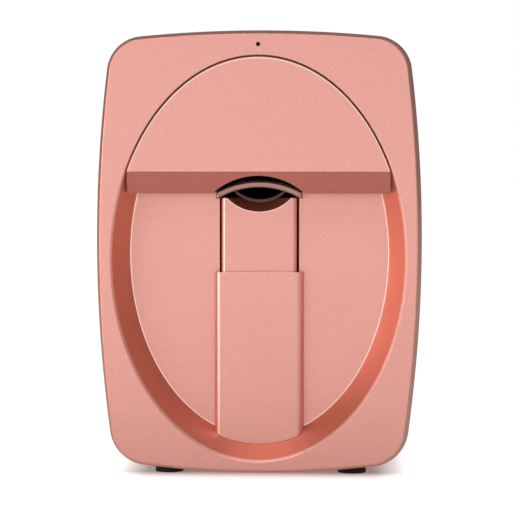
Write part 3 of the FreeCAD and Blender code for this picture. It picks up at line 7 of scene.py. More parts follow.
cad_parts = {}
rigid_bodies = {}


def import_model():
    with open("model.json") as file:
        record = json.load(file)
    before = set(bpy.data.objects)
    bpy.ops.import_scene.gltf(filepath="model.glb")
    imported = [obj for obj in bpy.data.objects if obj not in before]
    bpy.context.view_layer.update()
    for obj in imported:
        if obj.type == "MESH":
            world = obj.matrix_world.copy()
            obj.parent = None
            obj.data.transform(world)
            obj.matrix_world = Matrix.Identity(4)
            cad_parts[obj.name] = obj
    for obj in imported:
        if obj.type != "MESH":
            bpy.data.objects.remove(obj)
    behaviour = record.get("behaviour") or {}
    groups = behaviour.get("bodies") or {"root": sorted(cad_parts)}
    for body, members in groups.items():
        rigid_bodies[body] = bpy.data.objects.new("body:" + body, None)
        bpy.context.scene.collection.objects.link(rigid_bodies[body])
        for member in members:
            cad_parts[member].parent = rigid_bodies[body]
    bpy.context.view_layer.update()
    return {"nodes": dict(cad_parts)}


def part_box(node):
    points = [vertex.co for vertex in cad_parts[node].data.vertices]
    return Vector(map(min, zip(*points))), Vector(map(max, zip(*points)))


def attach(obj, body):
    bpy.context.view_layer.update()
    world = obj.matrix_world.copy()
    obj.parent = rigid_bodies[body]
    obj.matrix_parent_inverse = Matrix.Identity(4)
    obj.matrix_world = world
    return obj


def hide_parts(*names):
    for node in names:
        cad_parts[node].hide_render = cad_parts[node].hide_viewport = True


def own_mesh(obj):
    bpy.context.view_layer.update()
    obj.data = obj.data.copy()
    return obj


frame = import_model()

nodes = frame["nodes"]
bpy.ops.object.select_all(action="DESELECT")
MM = 0.001


# Studio ---
# The printer stands on a pale table in a white room. One soft light stands at its left, a weaker one in
# front and a third hangs above its face. The camera looks almost squarely at the hand recess.

def tone(red, green, blue):
    """Display colour, 0 to 255, as the linear values that a shader wants."""
    straight = [value / 255 for value in (red, green, blue)]
    return tuple(v / 12.92 if v <= 0.04045 else ((v + 0.055) / 1.055) ** 2.4 for v in straight) + (1,)


class Socket:
    """A shader value that takes part in plain arithmetic."""

    def __init__(self, finish, link):
        self.finish = finish
        self.link = link

    def math(self, operation, first, second):
        return self.finish.node("Math", {0: first, 1: second}, operation=operation)


def add_operator(sign, operation):
    """Lets a shader value stand on either side of an arithmetic sign."""
    setattr(Socket, f"__{sign}__", lambda self, other: self.math(operation, self, other))
    setattr(Socket, f"__r{sign}__", lambda self, other: self.math(operation, other, self))


for sign, operation in (("add", "ADD"), ("sub", "SUBTRACT"), ("mul", "MULTIPLY"), ("truediv", "DIVIDE"),
                        ("pow", "POWER")):
    add_operator(sign, operation)


class Finish:
    """One material, or the world, written as expressions on the place of a point on the object."""

    def __init__(self, name, owner=None):
        self.material = owner or bpy.data.materials.new(name)
        self.material.use_nodes = True
        self.tree = self.material.node_tree
        self.tree.nodes.clear()

    def node(self, kind, sockets, output=0, **settings):
        """Adds a shader node of a kind, sets it up and gives one of its outputs."""
        made = self.tree.nodes.new("ShaderNode" + kind)
        for key, value in settings.items():
            setattr(made, key, value)
        for key, value in sockets.items():
            if isinstance(value, Socket):
                self.tree.links.new(value.link, made.inputs[key])
            else:
                made.inputs[key].default_value = value
        return Socket(self, made.outputs[output]) if made.outputs else None

    def place(self, stretch=(1, 1, 1)):
        """Where a point lies on the object, in metres, stretched along each axis."""
        where = self.node("TexCoord", {}, "Object")
        return self.node("Mapping", {"Vector": where, "Scale": stretch})

    def along(self, axis, start=0.0):
        """How far a point lies along an axis, in metres, from a start in millimetres."""
        where = self.node("TexCoord", {}, "Object")
        reach = self.node("SeparateXYZ", {0: where}, axis)
        return reach - start * MM if start else reach

    def grain(self, scale, detail, stretch=(1, 1, 1)):
        return self.node("TexNoise", {
            "Vector": self.place(stretch), "Scale": scale, "Detail": detail})

    def ramp(self, value, low, high):
        """0 below low, 1 above high, straight between."""
        return self.node("MapRange", {"Value": value, "From Min": low, "From Max": high})

    def spots(self, low, high, *grain):
        return self.ramp(self.grain(*grain), low, high)

    def blend(self, mask, low, high):
        """Colour that goes from low to high with the mask."""
        return self.node("Mix", {0: mask, 6: low, 7: high}, 2, data_type="RGBA")

    def bump(self, height, strength, depth):
        return self.node("Bump", {"Height": height, "Strength": strength, "Distance": depth})

    def bumps(self, strength, depth, *grain):
        return self.bump(self.grain(*grain), strength, depth)

    def shader(self, **sockets):
        """Socket names are written with low lines for spaces."""
        named = {key.replace("_", " "): value for key, value in sockets.items()}
        return self.node("BsdfPrincipled", named)

    def close(self, shader):
        self.node("OutputMaterial", {"Surface": shader})
        return self.material

    def skin(self, **sockets):
        """Closes the material with one shader."""
        return self.close(self.shader(**sockets))


def dress(piece, finish):
    piece.data.materials.clear()
    piece.data.materials.append(finish)


camera_data = bpy.data.cameras.new("studio_camera")
camera_data.lens = 137.0
camera_data.sensor_width = 36.0
camera = bpy.data.objects.new("studio_camera", camera_data)
studio = bpy.context.scene
studio.collection.objects.link(camera)
camera.location = (0.0421, -1.012, 0.1442)
face_middle, camera_roll = Vector((0.0010, -0.062, 0.1067)), math.radians(0.05)
camera.rotation_euler = ((face_middle - Vector(camera.location)).to_track_quat("-Z", "Y").to_matrix()
                         @ Matrix.Rotation(camera_roll, 3, "Z")).to_euler()
studio.camera = camera

studio.view_settings.view_transform = "Standard"


def soft_light(name, place, width, height, power):
    """Rectangle of light, turned to the middle of the printer."""
    bpy.ops.object.light_add(type="AREA", location=place)
    lamp = bpy.context.object
    lamp.name = name
    lamp.data.shape = "RECTANGLE"
    lamp.data.size = width
    lamp.data.size_y = height
    lamp.data.energy = power
    lamp.rotation_euler = (Vector((0, 0, 0.1)) - Vector(place)).to_track_quat("-Z", "Y").to_euler()
    lamp.select_set(False)


soft_light("key_light", (-0.95, -0.75, 0.25), 0.7, 0.7, 3.9)
soft_light("front_light", (0.0, -1.7, 0.10), 1.4, 0.9, 2.2)
soft_light("top_light", (-0.1, -0.62, 1.05), 0.9, 0.35, 3.6)

# The walls round the set are brighter in front than beside and behind the printer, so that its flanks
# fall off. The camera itself sees plain white.
world = bpy.data.worlds.new("white_room")
studio.world = world
room = Finish("white_room", world)
direction = room.node("TexCoord", {}, "Generated")
ahead = room.ramp(0 - room.node("SeparateXYZ", {0: direction}, "Y"), 0.0, 1.0)
above = room.ramp(room.node("SeparateXYZ", {0: direction}, "Z"), 0.0, 1.0)
seen = room.node("LightPath", {}, "Is Camera Ray")
white = tone(255, 255, 255)
glow = 0.20 + 0.32 * ahead * ahead + 0.06 * above
wall_light = room.node("Background", {
    "Color": white, "Strength": seen + (1 - seen) * glow})
room.node("OutputWorld", {"Surface": wall_light})

# The camera sees the table glow white, with a painted shadow under the case: a grey patch in that glow.
# Every other ray meets a dimmer, warmer glow painted into the table, which brightens towards the camera and
# lights the printer from below.
bpy.ops.mesh.primitive_plane_add(size=40)
table = bpy.context.object
table.name = "table_top"
table_top = Finish("white_acrylic")
speck = table_top.spots(0.35, 0.65, 900, 3)
nearer, across = 0 - table_top.along("Y"), table_top.along("X")
# Painted shadow: the glow turns grey under the case and just in front of it, and stays white beside and
# behind it.
outside_painted_shadow = (table_top.ramp(nearer, 0.034, 0.052) + table_top.ramp(across * across, 0.0032, 0.0052)
              + table_top.ramp(nearer, -0.060, -0.090))
acrylic = table_top.shader(
    Base_Color=table_top.blend(speck, tone(238, 238, 238), tone(244, 244, 244)),
    Roughness=0.6 + 0.08 * speck, Specular_IOR_Level=0.1,
    Emission_Color=table_top.blend(outside_painted_shadow, tone(112, 124, 122), white), Emission_Strength=0.80)
# Painted light for every other ray: the table glows dim near the printer and brighter towards the camera.
far_table = table_top.ramp(nearer, 0.08, 0.36)
bounce = table_top.shader(
    Base_Color=tone(190, 190, 190), Roughness=1.0, Specular_IOR_Level=0.0,
    Emission_Color=table_top.blend(far_table, tone(158, 146, 140), tone(255, 250, 248)),
    Emission_Strength=0.86)
seen = table_top.node("LightPath", {}, "Is Camera Ray")
dress(table, table_top.close(
    table_top.node("MixShader", {0: seen, 1: bounce, 2: acrylic})))
table.select_set(False)


# Case paint ---
# The outer mouldings are ABS, sprayed with a rose satin paint that has fine aluminium flake in it,
# under a thin soft lacquer. Light is painted into it: down the slope of the recess it turns copper as a
# painted reflection, on the sides a deeper copper as painted shade, and pale bands on some edges are painted
# highlights.

def scaled(shade, factors, lift=0.0):
    """A shade with its red, green and blue made darker or brighter."""
    return tuple(min(1.0, value * factor + lift) for value, factor in zip(shade, factors)) + (1,)


def case_paint(name, shade, metal=0.85, gloss=0.40, sunk=None, face=0, highlight_band=(0.985, 1.012)):
    """Satin flake paint; sunk is the oval (half width, half height, middle) round which a pale painted
    highlight runs along the edge, highlight_band the band of it, as shares squared, and face the depth
    behind which the paint is a deeper copper, a painted shade, as it is copper on the slope inside the oval,
    a painted reflection."""
    paint = Finish(name)
    flake = paint.spots(0.50, 0.74, 2300, 1.5)
    cloud = paint.spots(0.3, 0.7, 26, 3)
    colour = paint.blend(cloud, scaled(shade, [0.985] * 3), shade)
    colour = paint.blend(flake, colour, scaled(shade, [1.10] * 3, 0.02))
    speck = paint.spots(0.25, 0.42, 1500, 2)
    colour = paint.blend(1 - speck, colour, scaled(shade, [0.93] * 3))
    if sunk:
        x, z = paint.along("X") / (sunk.x * MM), paint.along("Z", sunk.z) / (sunk.y * MM)
        spread = x * x + z * z
        if face:
            # Painted shade: behind the face the paint turns to a deeper copper.
            behind = paint.ramp(paint.along("Y", face), 0.0007, 0.0017)
            colour = paint.blend(behind, colour, scaled(shade, (0.92, 0.68, 0.54)))
            # Painted reflection: on the slope inside the oval the paint turns copper, as the recess reflects
            # its own rose.
            slope = paint.ramp(spread, 1.0, 0.985)
            colour = paint.blend(slope, colour, scaled(shade, (0.92, 0.75, 0.60)))
        # Painted highlight: a pale band along the edge of the oval.
        highlight_mask = paint.ramp(spread, highlight_band[0], highlight_band[0] + 0.008) * paint.ramp(spread, highlight_band[1], highlight_band[1] - 0.008)
        colour = paint.blend(0.75 * highlight_mask, colour, tone(255, 222, 208))
    return paint.skin(Base_Color=colour, Metallic=metal, Roughness=gloss + 0.05 * cloud - 0.08 * flake,
                      Coat_Weight=0.22, Coat_Roughness=0.14,
                      Normal=paint.bumps(0.10, 0.00005, 1900, 2))


rose = tone(230, 164, 153)
rose_paint = case_paint("rose_satin_paint", rose)
# The sleeve, rear cover and button wear a deeper copper copy of the rose: painted shade, so the flanks fall
# darker than the face.
flank_shade_paint = case_paint("rose_flank_shade_paint", tone(221, 137, 115))


# Hand tools ---
# Outlines are drawn as flat curves, given depth and turned into a mesh; blocks and rods are cut from
# and added to them. All of these work in millimetres.

TURNS = {"X": (0, math.radians(90), 0), "Y": (math.radians(-90), 0, 0), "Z": (0, 0, 0)}
FACING = {"Y": (math.radians(90), 0, 0), "X": (math.radians(90), 0, math.radians(90))}


def pick(piece):
    if bpy.context.mode != "OBJECT":
        bpy.ops.object.mode_set(mode="OBJECT")
    bpy.ops.object.select_all(action="DESELECT")
    piece.select_set(True)
    bpy.context.view_layer.objects.active = piece


def edit(piece):
    """Opens a piece in edit mode with all of it selected."""
    pick(piece)
    bpy.ops.object.mode_set(mode="EDIT")
    bpy.ops.mesh.select_all(action="SELECT")


def leave():
    bpy.ops.object.mode_set(mode="OBJECT")


def settle(name=None):
    """Applies place, turn and size of the active object, and names it if it is new."""
    piece = bpy.context.object
    piece.name = name or piece.name
    bpy.ops.object.transform_apply(location=True, rotation=True, scale=True)
    return piece


def close_up(piece):
    """Merges doubles and turns every face outwards."""
    edit(piece)
    bpy.ops.mesh.remove_doubles(threshold=0.000002)
    bpy.ops.mesh.normals_make_consistent(inside=False)
    leave()


def add_spline(curve, anchors):
    """Closed outline through (point, handle before, handle after)."""
    spline = curve.splines.new("BEZIER")
    spline.bezier_points.add(len(anchors) - 1)
    for knot, anchor in zip(spline.bezier_points, anchors):
        knot.handle_left_type = knot.handle_right_type = "FREE"
        knot.co, knot.handle_left, knot.handle_right = [(x * MM, y * MM, 0) for x, y in anchor]
    spline.use_cyclic_u = True
    spline.resolution_u = 24


def add_corners(curve, corners):
    """Closed outline with straight runs."""
    spline = curve.splines.new("POLY")
    spline.points.add(len(corners) - 1)
    for knot, (across, up) in zip(spline.points, corners):
        knot.co = (across * MM, up * MM, 0, 1)
    spline.use_cyclic_u = True


def arc(centre, radius, first, last, steps=24):
    """Points along an arc, with the angles in degrees from the first axis."""
    turns = [math.radians(first + (last - first) * step / steps) for step in range(steps + 1)]
    return [(centre[0] + radius * math.cos(turn), centre[1] + radius * math.sin(turn)) for turn in turns]


def slab(name, outlines, near, far, rounding, steps, facing="Y"):
    """Solid plate between two depths, with rounded rims, from flat outlines. Each outline is the
    function that draws it and its sizes."""
    curve = bpy.data.curves.new(name, "CURVE")
    curve.dimensions = "2D"
    curve.fill_mode = "BOTH"
    for draw, *sizes in outlines:
        draw(curve, *sizes)
    curve.extrude = ((far - near) / 2 - rounding) * MM
    curve.bevel_depth = rounding * MM
    curve.bevel_resolution = steps
    curve.offset = -rounding * MM
    piece = bpy.data.objects.new(name, curve)
    studio.collection.objects.link(piece)
    piece.rotation_euler = FACING[facing]
    piece.location["XYZ".index(facing)] = (near + far) / 2 * MM
    pick(piece)
    bpy.ops.object.convert(target="MESH")
    settle()
    close_up(piece)
    return piece


def block(name, x, y, z):
    """Box between two limits on each axis."""
    bpy.ops.mesh.primitive_cube_add(size=1, location=[(low + high) / 2 * MM for low, high in (x, y, z)],
                                    scale=[(high - low) * MM for low, high in (x, y, z)])
    return settle(name)


def rod(name, axis, start, radius, length, sides=64, tip=None):
    """Round bar, or a cone where the tip has its own radius, from a start point along an axis."""
    middle = Vector(start)
    middle["XYZ".index(axis)] += length / 2
    bpy.ops.mesh.primitive_cone_add(vertices=sides, radius1=radius * MM,
                                    radius2=(radius if tip is None else tip) * MM,
                                    depth=length * MM, location=middle * MM, rotation=TURNS[axis])
    return settle(name)


def select(piece, kind, parts, wanted):
    """Selects in edit mode the points, edges or faces that a test picks."""
    edit(piece)
    bpy.ops.mesh.select_mode(type=kind)
    bpy.ops.mesh.select_all(action="DESELECT")
    leave()
    for part in getattr(piece.data, parts):
        part.select = wanted(part)
    bpy.ops.object.mode_set(mode="EDIT")


def select_points(piece, wanted):
    """Picks points by their place."""
    select(piece, "VERT", "vertices", lambda point: wanted(point.co / MM))


def select_edges(piece, wanted):
    """Picks edges by their two ends."""
    select(piece, "EDGE", "edges", lambda edge: wanted(
        *(piece.data.vertices[number].co / MM for number in edge.vertices)))


def select_faces(piece, wanted):
    """Picks faces by their middle and normal."""
    select(piece, "FACE", "polygons", lambda face: wanted(face.center / MM, face.normal))


def inset(piece, wanted, *steps):
    """Sets in the faces that a test picks, one step of (width, depth) after another."""
    select_faces(piece, wanted)
    for width, depth in steps:
        bpy.ops.mesh.inset(thickness=width * MM, depth=depth * MM)
    leave()


def slice_off(piece, depth, direction):
    """Cuts away what lies past a depth in the given Y direction and leaves the piece open there."""
    edit(piece)
    bpy.ops.mesh.bisect(plane_co=(0, depth * MM, 0), plane_no=(0, direction, 0), clear_outer=True)
    leave()


def finish_modifier(piece, kind, **settings):
    pick(piece)
    modifier = piece.modifiers.new(kind.lower(), kind)
    for key, value in settings.items():
        setattr(modifier, key, value)
    bpy.ops.object.modifier_apply(modifier=modifier.name)


def hollow(piece, wall):
    """Gives an open moulding its wall, inwards."""
    finish_modifier(piece, "SOLIDIFY", thickness=wall * MM, offset=-1, use_even_offset=True)


def carve(piece, *tools, operation="DIFFERENCE"):
    """Cuts the tools out of a piece, adds them or keeps what they share, and takes the tools away."""
    for tool in tools:
        finish_modifier(piece, "BOOLEAN", object=tool, operation=operation, solver="EXACT")
        bpy.data.objects.remove(tool)


def weld(piece, *tools):
    carve(piece, *tools, operation="UNION")


def soften(piece, width, steps, angle):
    """Rounds the sharp edges."""
    finish_modifier(piece, "BEVEL", width=width * MM, segments=steps, limit_method="ANGLE",
                    angle_limit=math.radians(angle), use_clamp_overlap=True, miter_outer="MITER_ARC")


def flatten(piece, angle):
    """Makes flat stretches one face each."""
    edit(piece)
    bpy.ops.mesh.dissolve_limited(angle_limit=math.radians(angle))
    leave()


def polish(piece, sharp):
    """Shades a piece smooth up to its sharp edges."""
    flatten(piece, 0.2)
    bpy.ops.object.shade_smooth_by_angle(angle=math.radians(sharp))
    finish_modifier(piece, "WEIGHTED_NORMAL", keep_sharp=True, weight=60)


def join(name, copies):
    """One object from several of the same kind."""
    pick(copies[0])
    for copy in copies[1:]:
        copy.select_set(True)
    bpy.ops.object.join()
    copies[0].name = name
    return copies[0]


def repeat(piece, shifts):
    """Copies of a piece, each with its own mesh, moved by the shifts."""
    copies = [piece]
    for shift in shifts:
        pick(piece)
        bpy.ops.object.duplicate()
        bpy.ops.transform.translate(value=Vector(shift) * MM)
        copies.append(settle())
    return copies


def mount(piece, body, slot, finish, *replaced, sharp=35):
    """Shades and paints a piece, seats it on its body, and lets it stand for the plain solids."""
    polish(piece, sharp)
    dress(piece, finish)
    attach(piece, body)
    if replaced:
        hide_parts(*replaced)


def face_with(piece, finish, wanted):
    """Gives the faces that a test picks a material of their own."""
    piece.data.materials.append(finish)
    select_faces(piece, wanted)
    piece.active_material_index = len(piece.data.materials) - 1
    bpy.ops.object.material_slot_assign()
    leave()


def span(name):
    """Lower and upper corner of a solid's box."""
    low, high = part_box(name)
    return low / MM, high / MM


# Front housing ---
# A moulded bezel: a bowed rectangle whose sides flare behind the face, with the oval hand opening
# sunk into it as a sloped funnel that ends on the hand plate. Four screw bosses stand behind it.

front, seam = (corner.y for corner in span("front_housing"))
plate_front, plate_back = span("finger_port_rim")[1].y, span("hand_plate")[1].y
wall, post_radius = 2.5, 3.6
flare, flare_depth = 2.0, 10.0
half_width, case_height, floor_gap, widest_height = 79.0, 217.5, 2.5, 115.0
top_bow, side_bow, base_bow, top_corner, base_corner = 600.0, 690.0, 460.0, 18.0, 19.0
mouth = Vector((71.0, 97.8, 107.2))
recess = Vector((63.3, 89.7, 109.0))
hinge_height, indicator_height = 209.5, 210.2
arm_offset = 9.0
corner_screws = [(side * 63, height) for side in (1, -1) for height in (196.5, 22.5)]


def crossing(centre, radius, other, other_radius, side):
    """Where two circles cross, on the wanted side."""
    line = other - centre
    reach = (radius ** 2 - other_radius ** 2 + line.length_squared) / (2 * line.length)
    off = math.sqrt(radius ** 2 - reach ** 2)
    middle = centre + line.normalized() * reach
    across = Vector((-line.y, line.x)).normalized() * off
    return max((middle + across, middle - across), key=lambda point: point.dot(side))


def case_arcs():
    """Bows and corners of the case as (centre, radius), counter-clockwise from the top."""
    top, base = Vector((0, case_height - top_bow)), Vector((0, floor_gap + base_bow))
    right = Vector((half_width - side_bow, widest_height))
    left = Vector((-right.x, widest_height))
    upper = crossing(top, top_bow - top_corner, right, side_bow - top_corner, Vector((1, 1)))
    lower = crossing(base, base_bow - base_corner, right, side_bow - base_corner, Vector((1, -1)))
    return [(top, top_bow), (Vector((-upper.x, upper.y)), top_corner),
            (left, side_bow), (Vector((-lower.x, lower.y)), base_corner),
            (base, base_bow), (lower, base_corner), (right, side_bow), (upper, top_corner)]


def draw_case(curve, shrink):
    """Outline of the case, shrunk all round, from the joints between neighbouring arcs."""
    arcs = [(centre, radius - shrink) for centre, radius in case_arcs()]
    following = arcs[1:] + arcs[:1]
    joints = []
    for pair in zip(arcs, following):
        small, big = sorted(pair, key=lambda item: item[1])
        joints.append(big[0] + (small[0] - big[0]).normalized() * big[1])
    anchors = []
    for number, joint in enumerate(joints):
        handles = []
        for (centre, radius), end in ((arcs[number], joints[number - 1]),
                                      (following[number], joints[(number + 1) % len(joints)])):
            spoke, far = joint - centre, end - centre
            tangent = Vector((-spoke.y, spoke.x)).normalized()
            side = 1 if tangent.dot(far) > 0 else -1
            handles.append(joint + tangent * side * radius * 4 / 3 * math.tan(spoke.angle(far) / 4))
        anchors.append((joint, *handles))
    add_spline(curve, anchors)


def draw_oval(curve, oval, grow=0.0):
    """Upright ellipse from its half width, half height and the height of its middle."""
    bend = 0.5523
    anchors = []
    for across, up in ((1, 0), (0, 1), (-1, 0), (0, -1)):
        point = Vector(((oval.x + grow) * across, oval.z + (oval.y + grow) * up))
        lean = Vector((-(oval.x + grow) * up, (oval.y + grow) * across)) * bend
        anchors.append((point, point - lean, point + lean))
    add_spline(curve, anchors)


def funnel(name, near, far, grow):
    """Solid between two depths of the sloped recess, grown or shrunk all round."""
    middle = (near + far) / 2
    piece = rod(name, "Y", (0, near, 0), 1.0, far - near, 192)
    for depth in (near, far):
        oval = mouth.lerp(recess, (depth - front) / (plate_front - front))
        select_points(piece, lambda p: (p.y < middle) == (depth < middle))
        bpy.ops.transform.resize(value=(oval.x + grow, 1, oval.y + grow), center_override=(0, depth * MM, 0))
        bpy.ops.transform.translate(value=(0, 0, oval.z * MM))
        leave()
    return piece


def outside(point):
    """True for points of the case's outline, beyond the oval opening."""
    grow = 1.2
    return (point.x / (mouth.x + grow)) ** 2 + ((point.z - mouth.z) / (mouth.y + grow)) ** 2 > 1


bezel = slab("bezel_moulding", [(draw_case, flare), (draw_oval, mouth)], front, seam + 20, 0.9, 4)
slice_off(bezel, seam, 1)
select_points(bezel, lambda p: True)
bpy.ops.mesh.bisect(plane_co=(0, (front + flare_depth) * MM, 0), plane_no=(0, 1, 0))
select_points(bezel, lambda p: p.y > front + flare_depth - 0.5 and outside(p))
bpy.ops.transform.shrink_fatten(value=flare * MM, use_even_offset=True)
for depth, final in ((front + flare_depth, front + flare_depth), (seam, plate_front)):
    oval = mouth.lerp(recess, (final - front) / (plate_front - front))
    select_points(bezel, lambda p: abs(p.y - depth) < 0.5 and not outside(p))
    bpy.ops.transform.resize(value=(oval.x / mouth.x, 1, oval.y / mouth.y),
                             center_override=(0, depth * MM, mouth.z * MM))
    bpy.ops.transform.translate(value=(0, (final - depth) * MM, (oval.z - mouth.z) * MM))
leave()
hollow(bezel, wall - 0.1)
carve(bezel, rod("indicator_bore", "Y", (0, front - 2, indicator_height), 1.05, 6, 32),
      *[block("arm_slot", (side * arm_offset - 2.6, side * arm_offset + 2.6), (front + 2.6, seam + 1),
              (hinge_height - 19.3, hinge_height + 2.5)) for side in (1, -1)])
bosses = [rod("bezel_boss", "Y", (x, front + 1, z), post_radius, seam - front - 1) for x, z in corner_screws]
for boss, (x, z) in zip(bosses, corner_screws):
    carve(boss, rod("bezel_boss_bore", "Y", (x, seam - 8, z), 1.25, 9, 32))
join("bezel_moulding", [bezel] + bosses)
# Inside the oval the paint turns copper as a painted reflection, behind the face a deeper copper as painted
# shade, and a pale band on the mouth's edge is a painted highlight.
bezel_paint = case_paint("rose_bezel_paint", rose, sunk=mouth, face=front)
mount(bezel, "case", "case_paint", bezel_paint, "front_housing")


def two_tone(name, mask, dark, light, gloss, relief=None, bumps=None, **sockets):
    """Skin between two shades. Gloss is the roughness and what the light shade adds to it; relief is
    the strength and depth of the bumps, which follow the shades or a grain of their own."""
    finish = Finish(name)
    part = mask(finish) if callable(mask) else finish.spots(*mask)
    if relief:
        sockets["Normal"] = finish.bump(finish.grain(*bumps) if bumps else part, *relief)
    return finish.skin(Base_Color=finish.blend(part, tone(*dark), tone(*light)),
                       Roughness=gloss[0] + gloss[1] * part, **sockets)


# Only the outside is sprayed: the inner sides stay bare, in black ABS. The same black is laid as painted
# shade on the walls of the joint round the lid and of the finger slot.
bare_abs_and_shade_skin = two_tone("bare_black_abs_and_painted_shade", (0.3, 0.7, 90, 4), (15, 15, 16), (26, 26, 27), (0.6, 0.12),
                     (0.15, 0.00004), (1800, 3), Specular_IOR_Level=0.3)
# The walls of the joint round the lid get the black as painted shade, so the joint reads dark.
face_with(bezel, bare_abs_and_shade_skin, lambda middle, normal: middle.z > 150 and normal.y > -0.5
          and middle.y > front + 0.7
          and abs(math.hypot(middle.x / mouth.x, (middle.z - mouth.z) / mouth.y) - 1) < 0.012)


# Main shell ---
# The sleeve between bezel and rear cover: one extruded outline, open at both ends, with screw ears at
# the corners, four standoffs for the chassis and an opening with a ledge in its floor.

rear_seam, back = span("main_shell")[1].y, span("rear_cover")[1].y
service_low, service_high = span("base_cover")
chassis_level = span("chassis")[0].z
sleeve = slab("case_sleeve", [(draw_case, 0), (draw_case, wall)], seam, rear_seam, 0.3, 2)
ears = []
for x, z in corner_screws:
    limits = (z - 5, case_height) if z > widest_height else (0, z + 5)
    for near, far in ((seam + 0.4, seam + 3), (rear_seam - 7.5, rear_seam - 0.4)):
        ears.append(block("screw_ear", (x - 5, x + 5), (near, far), limits))
        carve(ears[-1], rod("ear_bore", "Y", (x, near - 1, z), 1.3, 10, 32))
join("screw_ears", ears)
carve(ears[0], slab("ear_limit", [(draw_case, wall / 2)], seam, rear_seam, 0.01, 0),
      operation="INTERSECT")
weld(sleeve, ears[0])
standoff_foot = floor_gap + 1.5 * wall
standoffs = [(x, y) for x in (50, -50) for y in (-30, 38)]
for x, y in standoffs:
    standoff = rod("standoff", "Z", (x, y, standoff_foot), post_radius, chassis_level - standoff_foot)
    carve(standoff, rod("standoff_bore", "Z", (x, y, chassis_level - 4), 1.3, 6, 32))
    weld(sleeve, standoff)


def service_span(grow):
    """Width and depth of the service hatch, grown all round."""
    return [(low - grow, high + grow) for low, high in zip(service_low.xy, service_high.xy)]


weld(sleeve, block("service_ledge", *service_span(4), (floor_gap + 2, floor_gap + 5.6)))
foot_places = [(side * 45.5, level) for side in (1, -1) for level in (-30, 44.5)]
carve(sleeve, block("service_seat", *service_span(0.3), (0, service_high.z + 0.1)),
      block("service_hatch", *service_span(-3), (0, 12)),
      *[rod("foot_seat", "Z", (x, y, -1), 7.05, floor_gap + 4.2) for x, y in foot_places])
mount(sleeve, "case", "case_paint", flank_shade_paint, "main_shell")


def inward(middle, normal):
    """True for faces that look to the middle of the case or lie well inside it."""
    out = Vector((middle.x, middle.z - widest_height))
    deep = abs(middle.x) < half_width - 21 and floor_gap + 16 < middle.z < case_height - 16
    return out.dot(Vector((normal.x, normal.z))) < -0.05 * out.length or deep


face_with(sleeve, bare_abs_and_shade_skin, inward)


# Rear cover ---
# A shallow lid moulding with rounded edges, two banks of cooling slots, the power button in its dish,
# the bore of the power inlet and four sunk screw heads.

cover = slab("rear_moulding", [(draw_case, 0)], rear_seam - 6, back, 3.0, 5)
slice_off(cover, rear_seam, -1)
hollow(cover, wall)
for x, z in corner_screws:
    weld(cover, rod("screw_post", "Y", (x, rear_seam + 0.2, z), 4.4, back - rear_seam - 1.4))
board_posts = [(x, z) for x in (-26, 50) for z in (48, 130)]
post_foot, side_column, button_height, inlet_height = 49.3, 40, 120, 34
for x, z in board_posts:
    weld(cover, rod("board_post", "Y", (x, post_foot, z), post_radius, back - post_foot - 1.2))
vent_limits, vent_pitch = (153.5, 187.5), 4.4
vents = [block("cooling_slot", (x - 1.2, x + 1.2), (back - wall - 1, back + 1), vent_limits)
         for middle in (20, -20) for x in [middle + vent_pitch * step for step in range(-4, 5)]]
for slot in vents:
    soften(slot, 1.1, 4, 60)
carve(cover, *vents,
      rod("button_bore", "Y", (side_column, back - 6, button_height), 6.3, 8, 96),
      rod("button_dish", "Y", (side_column, back - 1.2, button_height), 8.0, 1.3, 96, tip=10.4),
      rod("inlet_bore", "Y", (side_column, back - 6, inlet_height), 4.2, 8),
      *[rod("head_pocket", "Y", (x, back - 2.6, z), 2.8, 4) for x, z in corner_screws],
      *[rod("rear_screw_bore", "Y", (x, rear_seam - 1, z), 1.25, 8, 32) for x, z in corner_screws])
mount(cover, "case", "case_paint", flank_shade_paint, "rear_cover")
face_with(cover, bare_abs_and_shade_skin, lambda middle, normal: middle.y < back - wall + 0.1
          and (inward(middle, normal) or normal.y < -0.5))


# Hand plate ---
# The flat back of the hand recess, moulded with a flange that clips behind the funnel, a bay for the
# cartridge above and an arched keyhole below for finger and finger rest.

port_radius, port_axis = 40.0, 101.5
slot_half_width = 19.3
slot_foot, bay_foot, bay_half_width, bay_rim = 50.2, 149.2, 38.0, 8.0


def arch(radius, reach):
    """Points over the finger port from the right side to the left."""
    lean = math.degrees(math.asin(reach / radius))
    return arc((0, port_axis), radius, 90 - lean, 90 + lean)


bay_width, bay_height = recess.x - bay_rim, recess.y - bay_rim
bay_steps = [bay_half_width * (1 - step / 12) for step in range(25)]
keyhole = [(-slot_half_width, slot_foot), (slot_half_width, slot_foot)] + arch(port_radius, slot_half_width)
bay = [(-bay_half_width, bay_foot), (bay_half_width, bay_foot)] + [
    (x, recess.z + bay_height * math.sqrt(1 - (x / bay_width) ** 2)) for x in bay_steps]
plate = slab("hand_plate_moulding", [(draw_oval, recess, 1.8), (add_corners, keyhole), (add_corners, bay)],
             plate_front, plate_back, 0.25, 2)
magnet_offset, magnet_foot, magnet_height = 45, -55.2, 155.2
for side in (1, -1):
    weld(plate, rod("magnet_post", "Y", (side * magnet_offset, magnet_foot, magnet_height), 4.0, 9.6))
mount(plate, "case", "case_paint", rose_paint, "hand_plate")
# The walls of the finger slot get the black as painted shade, so the gaps beside the rest read dark.
face_with(plate, bare_abs_and_shade_skin, lambda middle, normal: abs(normal.y) < 0.3
          and abs(middle.x) < slot_half_width + 0.3
          and slot_foot - 1 < middle.z < port_axis + port_radius + 1)

# A fine bead runs round the foot of the slope, where the plate meets it, painted pale as a highlight line.
bead = slab("recess_bead", [(draw_oval, recess, 0.1), (draw_oval, recess, -0.5)],
            plate_front - 0.35, plate_front + 0.1, 0.08, 2)
mount(bead, "case", "port_trim", case_paint("painted_highlight_bead_paint", tone(255, 216, 200), metal=0.8, gloss=0.28))


